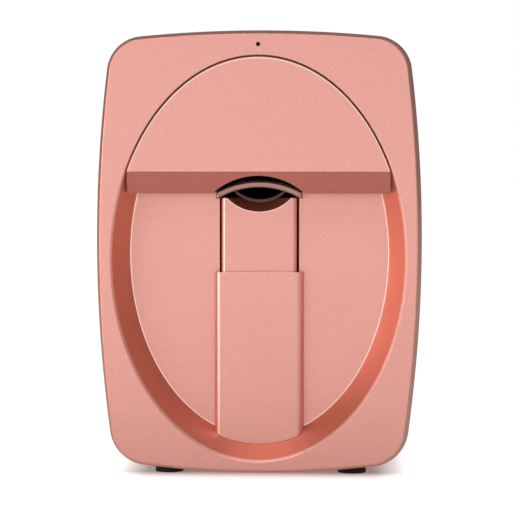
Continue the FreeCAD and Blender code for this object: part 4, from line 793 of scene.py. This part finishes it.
# Finger port rim ---
# A raised arched lip over the keyhole, a separate snap-in moulding in a darker, browner rose.

rim_front, rim_foot = span("finger_port_rim")[0].y, span("finger_port_rim")[0].z
rim_radius, rim_half_width = 43.3, 21.0
rim_points = (arch(rim_radius, rim_half_width)
              + [(-rim_half_width, rim_foot), (-slot_half_width, rim_foot)]
              + arch(port_radius, slot_half_width)[::-1]
              + [(slot_half_width, rim_foot), (rim_half_width, rim_foot)])
trim_paint = case_paint("port_trim_paint", tone(168, 126, 118), metal=0.8, gloss=0.30)
rim = slab("port_rim_moulding", [(add_corners, rim_points)], rim_front, plate_front, 1.1, 6)
mount(rim, "case", "port_trim", trim_paint, "finger_port_rim")


# Light seal ---
# Shade strip ---
# the arched lip stays dark.

strip = arch(rim_radius + 5.5, rim_half_width + 1) + arch(rim_radius + 0.1, rim_half_width + 1)[::-1]
shade_strip = slab("painted_shade_strip", [(add_corners, strip)], plate_front - 1.4, plate_front, 0.3, 3)
shade_foam_skin = two_tone("black_shade_foam", (0.35, 0.65, 1100, 3), (6, 6, 6), (16, 15, 15), (0.9, 0.08),
                     (0.4, 0.0001), Specular_IOR_Level=0.1)
mount(shade_strip, "case", "rubber", shade_foam_skin)


# Column cover ---
# A hollow U-shaped cover over the guide of the finger rest. It stands on the plate, its uprights are
# rounded, and its foot runs out in the slope of the funnel.

column_low, column_high = span("column_cover")
column = block("column_moulding", (column_low.x, column_high.x), (column_low.y, plate_front + 6),
               (0, column_high.z))


def round_uprights(piece, radius, face):
    """Rounds the two upright edges of a block's front face."""
    select_edges(piece, lambda first, second: first.y < face + 0.01
                 and abs(first.x - second.x) + abs(first.y - second.y) < 0.01)
    bpy.ops.mesh.bevel(offset=radius * MM, segments=6, affect="EDGES")
    leave()


round_uprights(column, 3.6, column_low.y)
carve(column, block("column_hollow", (column_low.x + 2, column_high.x - 2),
                    (column_low.y + 2, plate_front + 8), (slot_foot - 2, column_high.z + 1)))
carve(column, funnel("column_limit", front, plate_front, -0.05), operation="INTERSECT")
soften(column, 0.8, 3, 40)
mount(column, "case", "case_paint", rose_paint, "column_cover")


def highlight_strip(middle, normal):
    """True for the strip of a rounding that is painted pale as a highlight, at the left and along the top,
    where the light catches it.
    """
    return 0.85 < -normal.y < 0.97 and normal.x < -0.2 or 0.5 < -normal.y < 0.97 and normal.z > 0.2


# A pale painted highlight on the left and top roundings of the column and the rest.
highlight_edge_paint = case_paint("painted_highlight_edge_paint", tone(246, 196, 182), metal=0.8, gloss=0.32)
face_with(column, highlight_edge_paint, highlight_strip)


# Finger rest ---
# The sprung slider that carries the finger: a flat apron in front, a deep shelf with a round trough
# that opens wider at the mouth, and two sleeves below that run on the guide rods.

rest_low, rest_high = span("finger_rest")
rest_top, shelf_foot, sleeve_foot = rest_high.z, 124.4, 106.2
trough_axis, trough_radius, mouth_radius = rest_top + 14.9, 17.6, 21.6
rest_rods, rod_level, rest_rod_radius = (11, -11), -25.5, 2.0
rest = block("rest_moulding", (rest_low.x + 0.3, rest_high.x - 0.3), (rest_low.y, plate_back + 0.5),
             (rest_low.z, rest_top))
round_uprights(rest, 2.2, rest_low.y)
weld(rest, block("rest_shelf", (rest_low.x + 2, rest_high.x - 2), (plate_back, rest_high.y),
                 (shelf_foot, rest_top)),
     *[rod("rest_sleeve", "Z", (x, rod_level, sleeve_foot), 4.2, shelf_foot - sleeve_foot + 1)
       for x in rest_rods])
carve(rest, rod("trough_mouth", "Y", (0, rest_low.y - 0.01, trough_axis), mouth_radius, 6.0, 192,
                tip=trough_radius),
      rod("trough", "Y", (0, rest_low.y - 1, trough_axis), trough_radius, 40, 192),
      *[rod("rest_bore", "Z", (x, rod_level, sleeve_foot - 1), rest_rod_radius + 0.05, 29)
        for x in rest_rods])
soften(rest, 0.35, 3, 30)
# A pale ring round the mouth of the trough is a painted highlight.
rest_paint = case_paint("rose_rest_paint", rose, sunk=Vector((mouth_radius, mouth_radius, trough_axis)),
                        highlight_band=(0.992, 1.045))
mount(rest, "finger_rest", "case_paint", rest_paint, "finger_rest")
face_with(rest, highlight_edge_paint, highlight_strip)
# The walls of the trough get a deeper copper: painted shade, as the trough lies in shadow.
trough_shade_paint = case_paint("trough_shade_copper_paint", tone(190, 106, 88), metal=0.8, gloss=0.42)
face_with(rest, trough_shade_paint, lambda middle, normal: abs(normal.z) > 0.02 and rest_low.y + 0.4 < middle.y
          and math.hypot(middle.x, middle.z - trough_axis) < mouth_radius + 0.4)
crescent = (arc((0, trough_axis), trough_radius, 214, 326, 48)
            + arc((0, trough_axis + 2.2), trough_radius + 0.1, 322, 218, 48))
liner = slab("trough_liner", [(add_corners, crescent)], rest_low.y + 9, rest_high.y - 0.4, 0.3, 3)
liner_skin = case_paint("trough_liner_paint", tone(96, 58, 50), metal=0.7, gloss=0.40)
mount(liner, "finger_rest", "case_paint", liner_skin)


# Lid ---
# A D-shaped panel, 2.3 mm thick, that continues the face over the cartridge bay. Its lower lip slants
# back into the recess and is arched over the finger port. Its edges follow the slope of the funnel.

lid_thickness, lid_edge, lip_level, lip_foot = 2.3, 149.2, front + 6.0, span("lid")[0].z
lid_back = front + lid_thickness
lip_lean = Vector((lip_level - front, lip_foot - lid_edge)).normalized()
lip_across = Vector((-lip_lean.y, lip_lean.x)) * lid_thickness
lid_side = [(front, case_height), (front, lid_edge), (lip_level, lip_foot),
            (lip_level + lip_across.x, lip_foot + lip_across.y),
            (lid_back, lid_edge + 0.7), (lid_back, case_height)]
lid = slab("lid_moulding", [(add_corners, lid_side)], -mouth.x, mouth.x, 0.01, 0, facing="X")
carve(lid, funnel("lid_limit", front - 0.5, lip_level + 4, -0.8), operation="INTERSECT")
arch_cut_radius, arch_cut_axis, corner = 33.5, 113.7, 2.5
corner_z = lip_foot + corner
corner_x = math.sqrt((arch_cut_radius + corner) ** 2 - (corner_z - arch_cut_axis) ** 2)
turn = math.degrees(math.atan2(corner_z - arch_cut_axis, corner_x))
# The arch over the finger port runs out into the lip in two rounded corners.
lid_arch = (arc((corner_x, corner_z), corner, 270, 180 + turn, 8)
            + arc((0, arch_cut_axis), arch_cut_radius, turn, 180 - turn, 64)
            + arc((-corner_x, corner_z), corner, 360 - turn, 270, 8)
            + [(-corner_x, lip_foot - 6), (corner_x, lip_foot - 6)])
carve(lid, slab("lid_arch", [(add_corners, lid_arch)], front - 1, front + 13, 0.01, 0))
soften(lid, 0.55, 4, 22)
# A pale band along the lid's edge is a painted highlight.
lid_paint = case_paint("rose_lid_paint", rose, sunk=mouth, highlight_band=(0.963, 0.982))
mount(lid, "lid", "case_paint", lid_paint, "lid")
# The faces of the lip that look down get a darker rose: painted shade.
lip_shade_paint = case_paint("rose_lip_shade_paint", tone(194, 118, 106))
face_with(lid, lip_shade_paint, lambda middle, normal: normal.z < -0.3 and normal.y < -0.3)


# Feet ---
# Four rubber plugs, pressed into seats in the floor. The sole is slightly dished and grooved for grip.

rubber_skin = two_tone("black_rubber", (0.45, 0.75, 420, 4), (22, 22, 23), (44, 43, 42), (0.72, 0.12),
                       (0.25, 0.00006), (1600, 3), Specular_IOR_Level=0.35)


def foot(x, y):
    """One foot, with a groove and a hollow in its sole."""
    piece = rod("rubber_foot", "Z", (x, y, 0), 7.0, floor_gap + 3.1, 96)
    inset(piece, lambda middle, normal: normal.z < -0.9, (1.4, 0), (0.5, -0.5), (2.2, 0), (0.4, -0.4))
    soften(piece, 0.5, 3, 40)
    return piece


first_foot = foot_places[0]
feet = join("rubber_feet_set", repeat(foot(*first_foot), [(x - first_foot[0], y - first_foot[1], 0)
                                                          for x, y in foot_places[1:]]))
mount(feet, "case", "rubber", rubber_skin, "rubber_feet")


# Power button ---
# A round cap with a shallow finger dish, held behind the cover by its flange.

cap_foot = 57.2
button = rod("power_button_cap", "Y", (side_column, cap_foot, button_height), 6.0, back - 0.4 - cap_foot, 96)
weld(button, rod("button_flange", "Y", (side_column, cap_foot + 0.6, button_height), 7.6, 1.4, 96))
inset(button, lambda middle, normal: normal.y > 0.9 and middle.y > back - 1, (1.3, 0), (2.4, -0.35))
soften(button, 0.3, 3, 40)
mount(button, "power_button", "case_paint", flank_shade_paint, "power_button", sharp=50)


# Screws ---
# Zinc-plated pan-head screws with a cross recess. One is turned and cut by hand, then set at each
# place: four through the rear cover, four behind the bezel, four in the chassis, four in the board.

zinc_skin = two_tone("zinc_plated_steel", (0.35, 0.7, 500, 4, (1, 1, 0.15)), (150, 152, 156),
                     (188, 189, 190), (0.28, 0.16), (0.12, 0.00003), (2600, 2), Metallic=1.0)


def pan_head_screw(name, shank):
    """Screw along Y whose head faces +Y, at the middle of the frame."""
    piece = rod(name, "Y", (0, 0, 0), 2.6, 1.8, 48)
    inset(piece, lambda middle, normal: normal.y > 0.9, (0.9, 0))
    soften(piece, 0.55, 3, 40)
    arm, groove, depth = (-1.5, 1.5), (-0.33, 0.33), (0.7, 2)
    carve(piece, block("cross_slot", arm, depth, groove), block("cross_slot", groove, depth, arm))
    weld(piece, rod("shank", "Y", (0, -shank, 0), 1.2, shank + 0.2, 32))
    return piece


def set_screws(name, replaced, turned, places, shank):
    """A set of equal screws at (x, y, z) places; turned brings +Y to the way the head faces."""
    screw, first = pan_head_screw(name, shank), Vector(places[0])
    pick(screw)
    screw.rotation_euler = turned
    settle()
    screw.location = first * MM
    settle()
    screws = join(name, repeat(screw, [Vector(place) - first for place in places[1:]]))
    mount(screws, "case", "steel", zinc_skin, replaced)


pocket_floor, ear_back, chassis_top, board_face = 59.4, -39, 14, 47.5
set_screws("rear_screw_set", "rear_cover_screws", (0, 0, 0),
           [(x, pocket_floor, z) for x, z in corner_screws], 9.9)
set_screws("bezel_screw_set", "bezel_screws", (0, 0, 0), [(x, ear_back, z) for x, z in corner_screws], 10)
set_screws("chassis_screw_set", "chassis_screws", (math.radians(90), 0, 0),
           [(x, y, chassis_top) for x, y in standoffs], 5)
set_screws("board_screw_set", "board_screws", (0, 0, math.radians(180)),
           [(x, board_face, z) for x, z in board_posts], 5.5)


# Inner finishes ---
# Injection-moulded plastic with a fine eroded texture, sheet and turned metal with the marks of its
# making, printed boards, heat-shrink film and clear plastic.

def moulded(name, shade, gloss=0.55):
    plastic = Finish(name)
    cloud = plastic.spots(0.3, 0.7, 60, 4)
    dust = plastic.spots(0.55, 0.8, 700, 4)
    lighter = scaled(shade, [1.5] * 3, 0.01)
    return plastic.skin(Base_Color=plastic.blend(0.5 * cloud + 0.4 * dust, shade, lighter),
                        Roughness=gloss + 0.10 * cloud, Specular_IOR_Level=0.42,
                        Normal=plastic.bumps(0.16, 0.00004, 2400, 2))


def worked_metal(name, dark, light, stretch, gloss):
    """Metal with fine marks drawn out along the axes whose stretch is small."""
    metal = Finish(name)
    mark = metal.spots(0.3, 0.7, 900, 4, stretch)
    stain = metal.spots(0.35, 0.75, 45, 3)
    return metal.skin(Base_Color=metal.blend(0.6 * mark + 0.4 * stain, dark, light), Metallic=1.0,
                      Roughness=gloss + 0.14 * mark + 0.06 * stain,
                      Normal=metal.bumps(0.10, 0.00003, 1400, 3, stretch))


black_plastic = "dark_plastic", moulded("black_acetal", tone(24, 24, 26), 0.42)
graphite_plastic = "dark_plastic", moulded("graphite_abs", tone(46, 47, 50))
grey_plastic = "dark_plastic", moulded("grey_abs", tone(74, 75, 78), 0.6)
sheet_steel = "steel", worked_metal(
    "zinc_coated_sheet", tone(148, 152, 158), tone(186, 189, 192), (1, 0.08, 1), 0.34)
ground_steel = "steel", worked_metal(
    "ground_rod_steel", tone(176, 178, 182), tone(214, 215, 217), (0.1, 0.1, 0.1), 0.16)
nickel = "steel", worked_metal("nickel_plate", tone(178, 174, 166), tone(206, 203, 196), (1, 1, 1), 0.18)
turned_brass = "brass", worked_metal(
    "turned_brass", tone(176, 132, 62), tone(214, 178, 100), (0.3, 0.05, 0.3), 0.24)


def refine(name, finish, edge, body="case"):
    """Copy of a solid with merged points and, where edge isn't 0, rounded edges, which stands for it.
    The finish is a slot, which is not used, and its material."""
    pick(nodes[name])
    bpy.ops.object.duplicate()
    piece = bpy.context.object
    piece.name = name + "_finished"
    bpy.ops.object.parent_clear(type="CLEAR_KEEP_TRANSFORM")
    close_up(piece)
    flatten(piece, 1)
    if edge:
        soften(piece, edge, 2, 35)
    mount(piece, body, *finish, name)
    return piece


# Base cover ---
# A plain service hatch in the floor of the case, flush with the shell and seated on its ledge.

refine("base_cover", graphite_plastic, 0.3)


# Lid hinge and catches ---
# Two bent steel goosenecks on the lid turn on one ground pin, held by four lugs inside the bezel.
# Pairs of nickel-plated magnets hold the lid shut.

refine("lid_hinge_bracket", sheet_steel, 0.2, "lid")
refine("hinge_lugs", black_plastic, 0.2)
refine("hinge_pin", ground_steel, 0.15)
refine("lid_magnets", nickel, 0.25, "lid")
refine("catch_magnets", nickel, 0.25)


# Finger rest guide ---
# A moulded bridge carries two ground rods; a coil spring round each pushes the rest up.

refine("rest_bridge", graphite_plastic, 0.4)
refine("rest_guide_rods", ground_steel, 0.3)
spring_steel = worked_metal("spring_wire", tone(128, 130, 134), tone(178, 180, 184), (1, 1, 1), 0.22)
springs = refine("rest_springs", ("steel", spring_steel), 0)
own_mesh(springs)


# Chassis and print deck ---
# Folded zinc-coated steel: a U-shaped chassis on four standoffs and a flat deck with the print window.

refine("chassis", sheet_steel, 0.3)
refine("print_deck", sheet_steel, 0.25)


# Gantry ---
# Two trucks joined by a crossbar run front to back on ground rods, driven by a lead screw and its
# brass nut. The beam rods, the scan motor, the belt and its pulleys ride on it.

refine("rail_blocks", black_plastic, 0.4)
refine("track_rods", ground_steel, 0.3)
refine("gantry_frame", graphite_plastic, 0.6, "gantry")
refine("beam_rods", ground_steel, 0.3, "gantry")
refine("lead_nut", turned_brass, 0.2, "gantry")
refine("drive_pulley", turned_brass, 0.15, "drive_pulley")
refine("idler_pulley", turned_brass, 0.15, "idler_pulley")


def off_axis(finish, x, z):
    """How far a point lies from a line along Y, in metres."""
    across, up = finish.along("X", x), finish.along("Z", z)
    return (across * across + up * up) ** 0.5


bell_radius = 4.4


def motor_can(name, x, z):
    """Drawn steel can with a dark end bell, told apart by how far a point lies from the axis."""
    can = Finish(name)
    core = can.ramp(off_axis(can, x, z), bell_radius * MM, (bell_radius + 0.2) * MM)
    mark = can.spots(0.3, 0.7, 900, 4, (1, 0.05, 1))
    return can.skin(Base_Color=can.blend(core, tone(34, 34, 36), tone(170, 172, 176)),
                    Metallic=core, Roughness=0.3 + 0.16 * mark,
                    Normal=can.bumps(0.1, 0.00003, 1500, 3, (1, 0.1, 1)))


motor_x, feed_height, scan_height = -48.5, 150.2, 171.2
refine("feed_motor", ("steel", motor_can("feed_motor_can", motor_x, feed_height)), 0.6)
refine("scan_motor", ("steel", motor_can("scan_motor_can", motor_x, scan_height)), 0.6, "gantry")


def bands(finish, axis, scale, low, high, distortion=0.0):
    """Stripes across an axis."""
    wave = finish.node("TexWave", {
        "Vector": finish.place(), "Scale": scale, "Distortion": distortion}, bands_direction=axis)
    return finish.ramp(wave, low, high)


thread_skin = two_tone("rolled_thread", lambda finish: bands(finish, "Y", 160, 0.35, 0.65, 0.4),
                       (92, 94, 98), (196, 198, 201), (0.34, -0.12), (0.8, 0.0003), Metallic=1.0)
refine("lead_screw", ("steel", thread_skin), 0.2, "lead_screw")

belt_skin = two_tone("toothed_belt_rubber", lambda finish: bands(finish, "X", 160, 0.4, 0.6),
                     (18, 18, 19), (40, 40, 42), (0.66, 0.1), (0.6, 0.0003), Specular_IOR_Level=0.35)
refine("scan_belt", ("rubber", belt_skin), 0.15, "gantry")


# Carriage and cartridge ---
# An open-topped moulded tub on four acetal bushings, gripping the belt behind. The cartridge drops in
# from above and stands proud with a finger grip.

refine("carriage", grey_plastic, 0.5, "carriage")
refine("carriage_bushings", black_plastic, 0.15, "carriage")

ink = Finish("cartridge_shell")
grip_foot = 185.8
ink_crown = ink.ramp(ink.along("Z"), grip_foot * MM, (grip_foot + 0.3) * MM)
ink_cloud = ink.spots(0.35, 0.7, 300, 4)
ink_skin = ink.skin(Base_Color=ink.blend(ink_crown, tone(20, 20, 22), tone(216, 214, 210)),
                    Roughness=0.26 + 0.14 * ink_cloud + 0.12 * ink_crown,
                    Normal=ink.bumps(0.10, 0.00003, 2200, 2))
refine("ink_cartridge", ("dark_plastic", ink_skin), 0.6, "carriage")

pad = moulded("silicone_pad", tone(60, 62, 66), 0.75)
refine("capping_pad", ("rubber", pad), 0.4)


# Camera, lamp and indicator ---
# A small camera looks down through the print window from a bracket under the roof, with a strip of
# lamps in front of it. A light pipe shows the state of the printer above the lid.

refine("camera_bracket", black_plastic, 0.3)

eye = Finish("camera_module")
eye_board_foot = 202.9
eye_board = eye.ramp(eye.along("Z"), eye_board_foot * MM, (eye_board_foot + 0.1) * MM)
eye_trace = eye.spots(0.48, 0.52, 700, 1)
eye_mask = eye.blend(eye_trace, tone(16, 62, 38), tone(34, 96, 60))
eye_skin = eye.skin(Base_Color=eye.blend(eye_board, tone(16, 16, 18), eye_mask),
                    Roughness=0.3 + 0.2 * eye_board + 0.06 * eye_trace,
                    Normal=eye.bumps(0.08, 0.00003, 2400, 2))
refine("nail_camera", ("board", eye_skin), 0.3)

lamps_skin = two_tone("lamp_strip", lambda finish: bands(finish, "X", 56, 0.62, 0.72),
                      (230, 230, 226), (246, 226, 150), (0.5, -0.25), Specular_IOR_Level=0.45)
refine("light_bar", ("dark_plastic", lamps_skin), 0.2)


def printed_board(name, mask, trace):
    """Solder mask over copper tracks, with bright pads in rows."""
    board = Finish(name)
    track = board.node("TexBrick", {
        "Vector": board.place(), "Scale": 90.0, "Mortar Size": 0.03, "Mortar Smooth": 0.2}, "Fac")
    pads = board.ramp(board.node("TexVoronoi", {
        "Vector": board.place(), "Scale": 210.0}, distance="CHEBYCHEV"), 0.16, 0.14)
    cloud = board.spots(0.3, 0.7, 240, 3)
    shade = board.blend(track, mask, trace)
    return board.skin(Base_Color=board.blend(pads * 0.8, shade, tone(206, 186, 128)),
                      Metallic=0.7 * pads, Roughness=0.30 + 0.14 * cloud,
                      Normal=board.bump(track + pads, 0.3, 0.00005))


green_board = "board", printed_board("green_board", tone(14, 74, 44), tone(30, 104, 64))
refine("indicator_board", green_board, 0.1)

pipe_skin = two_tone("light_pipe", (0.3, 0.7, 900, 3), (5, 4, 4), (12, 9, 9), (0.55, 0.15),
                     (0.05, 0.00003), (1200, 2), Specular_IOR_Level=0.15)
refine("indicator_lens", ("lens", pipe_skin), 0.2)


# Main board, switch and power inlet ---
# The board hangs on four posts of the rear cover and carries the switch behind the power button and
# the round inlet, whose sprung pin is bright in the dark bore.

refine("main_board", green_board, 0.15)
refine("power_switch", black_plastic, 0.3)

jack = Finish("power_jack")
pin_radius = 1.15
jack_shell = jack.ramp(off_axis(jack, side_column, inlet_height), pin_radius * MM, (pin_radius + 0.1) * MM)
jack_cloud = jack.spots(0.3, 0.7, 500, 3)
jack_skin = jack.skin(Base_Color=jack.blend(jack_shell, tone(196, 190, 176), tone(20, 20, 22)),
                      Metallic=1 - jack_shell, Roughness=0.24 + 0.2 * jack_shell + 0.08 * jack_cloud,
                      Normal=jack.bumps(0.1, 0.00003, 1800, 2))
refine("power_inlet", ("dark_plastic", jack_skin), 0.2)


# Batteries ---
# Four wrapped cells lie two by two in a moulded tray with end walls.

film = Finish("shrink_film")
film_along = film.along("X")
film_half = 32.2
film_end = film.ramp(film_along * film_along, (film_half * MM) ** 2, ((film_half + 0.1) * MM) ** 2)
film_fold = film.spots(0.35, 0.7, 160, 4, (0.2, 1, 1))
film_body = film.blend(film_fold, tone(24, 66, 128), tone(38, 88, 156))
film_skin = film.skin(Base_Color=film.blend(film_end, film_body, tone(176, 178, 182)), Metallic=film_end,
                      Roughness=0.22 + 0.16 * film_fold, Coat_Weight=0.3,
                      Normal=film.bumps(0.12, 0.0001, 240, 3, (0.3, 1, 1)))
refine("battery_cells", ("cell_wrap", film_skin), 0.7)
refine("battery_tray", graphite_plastic, 0.4)
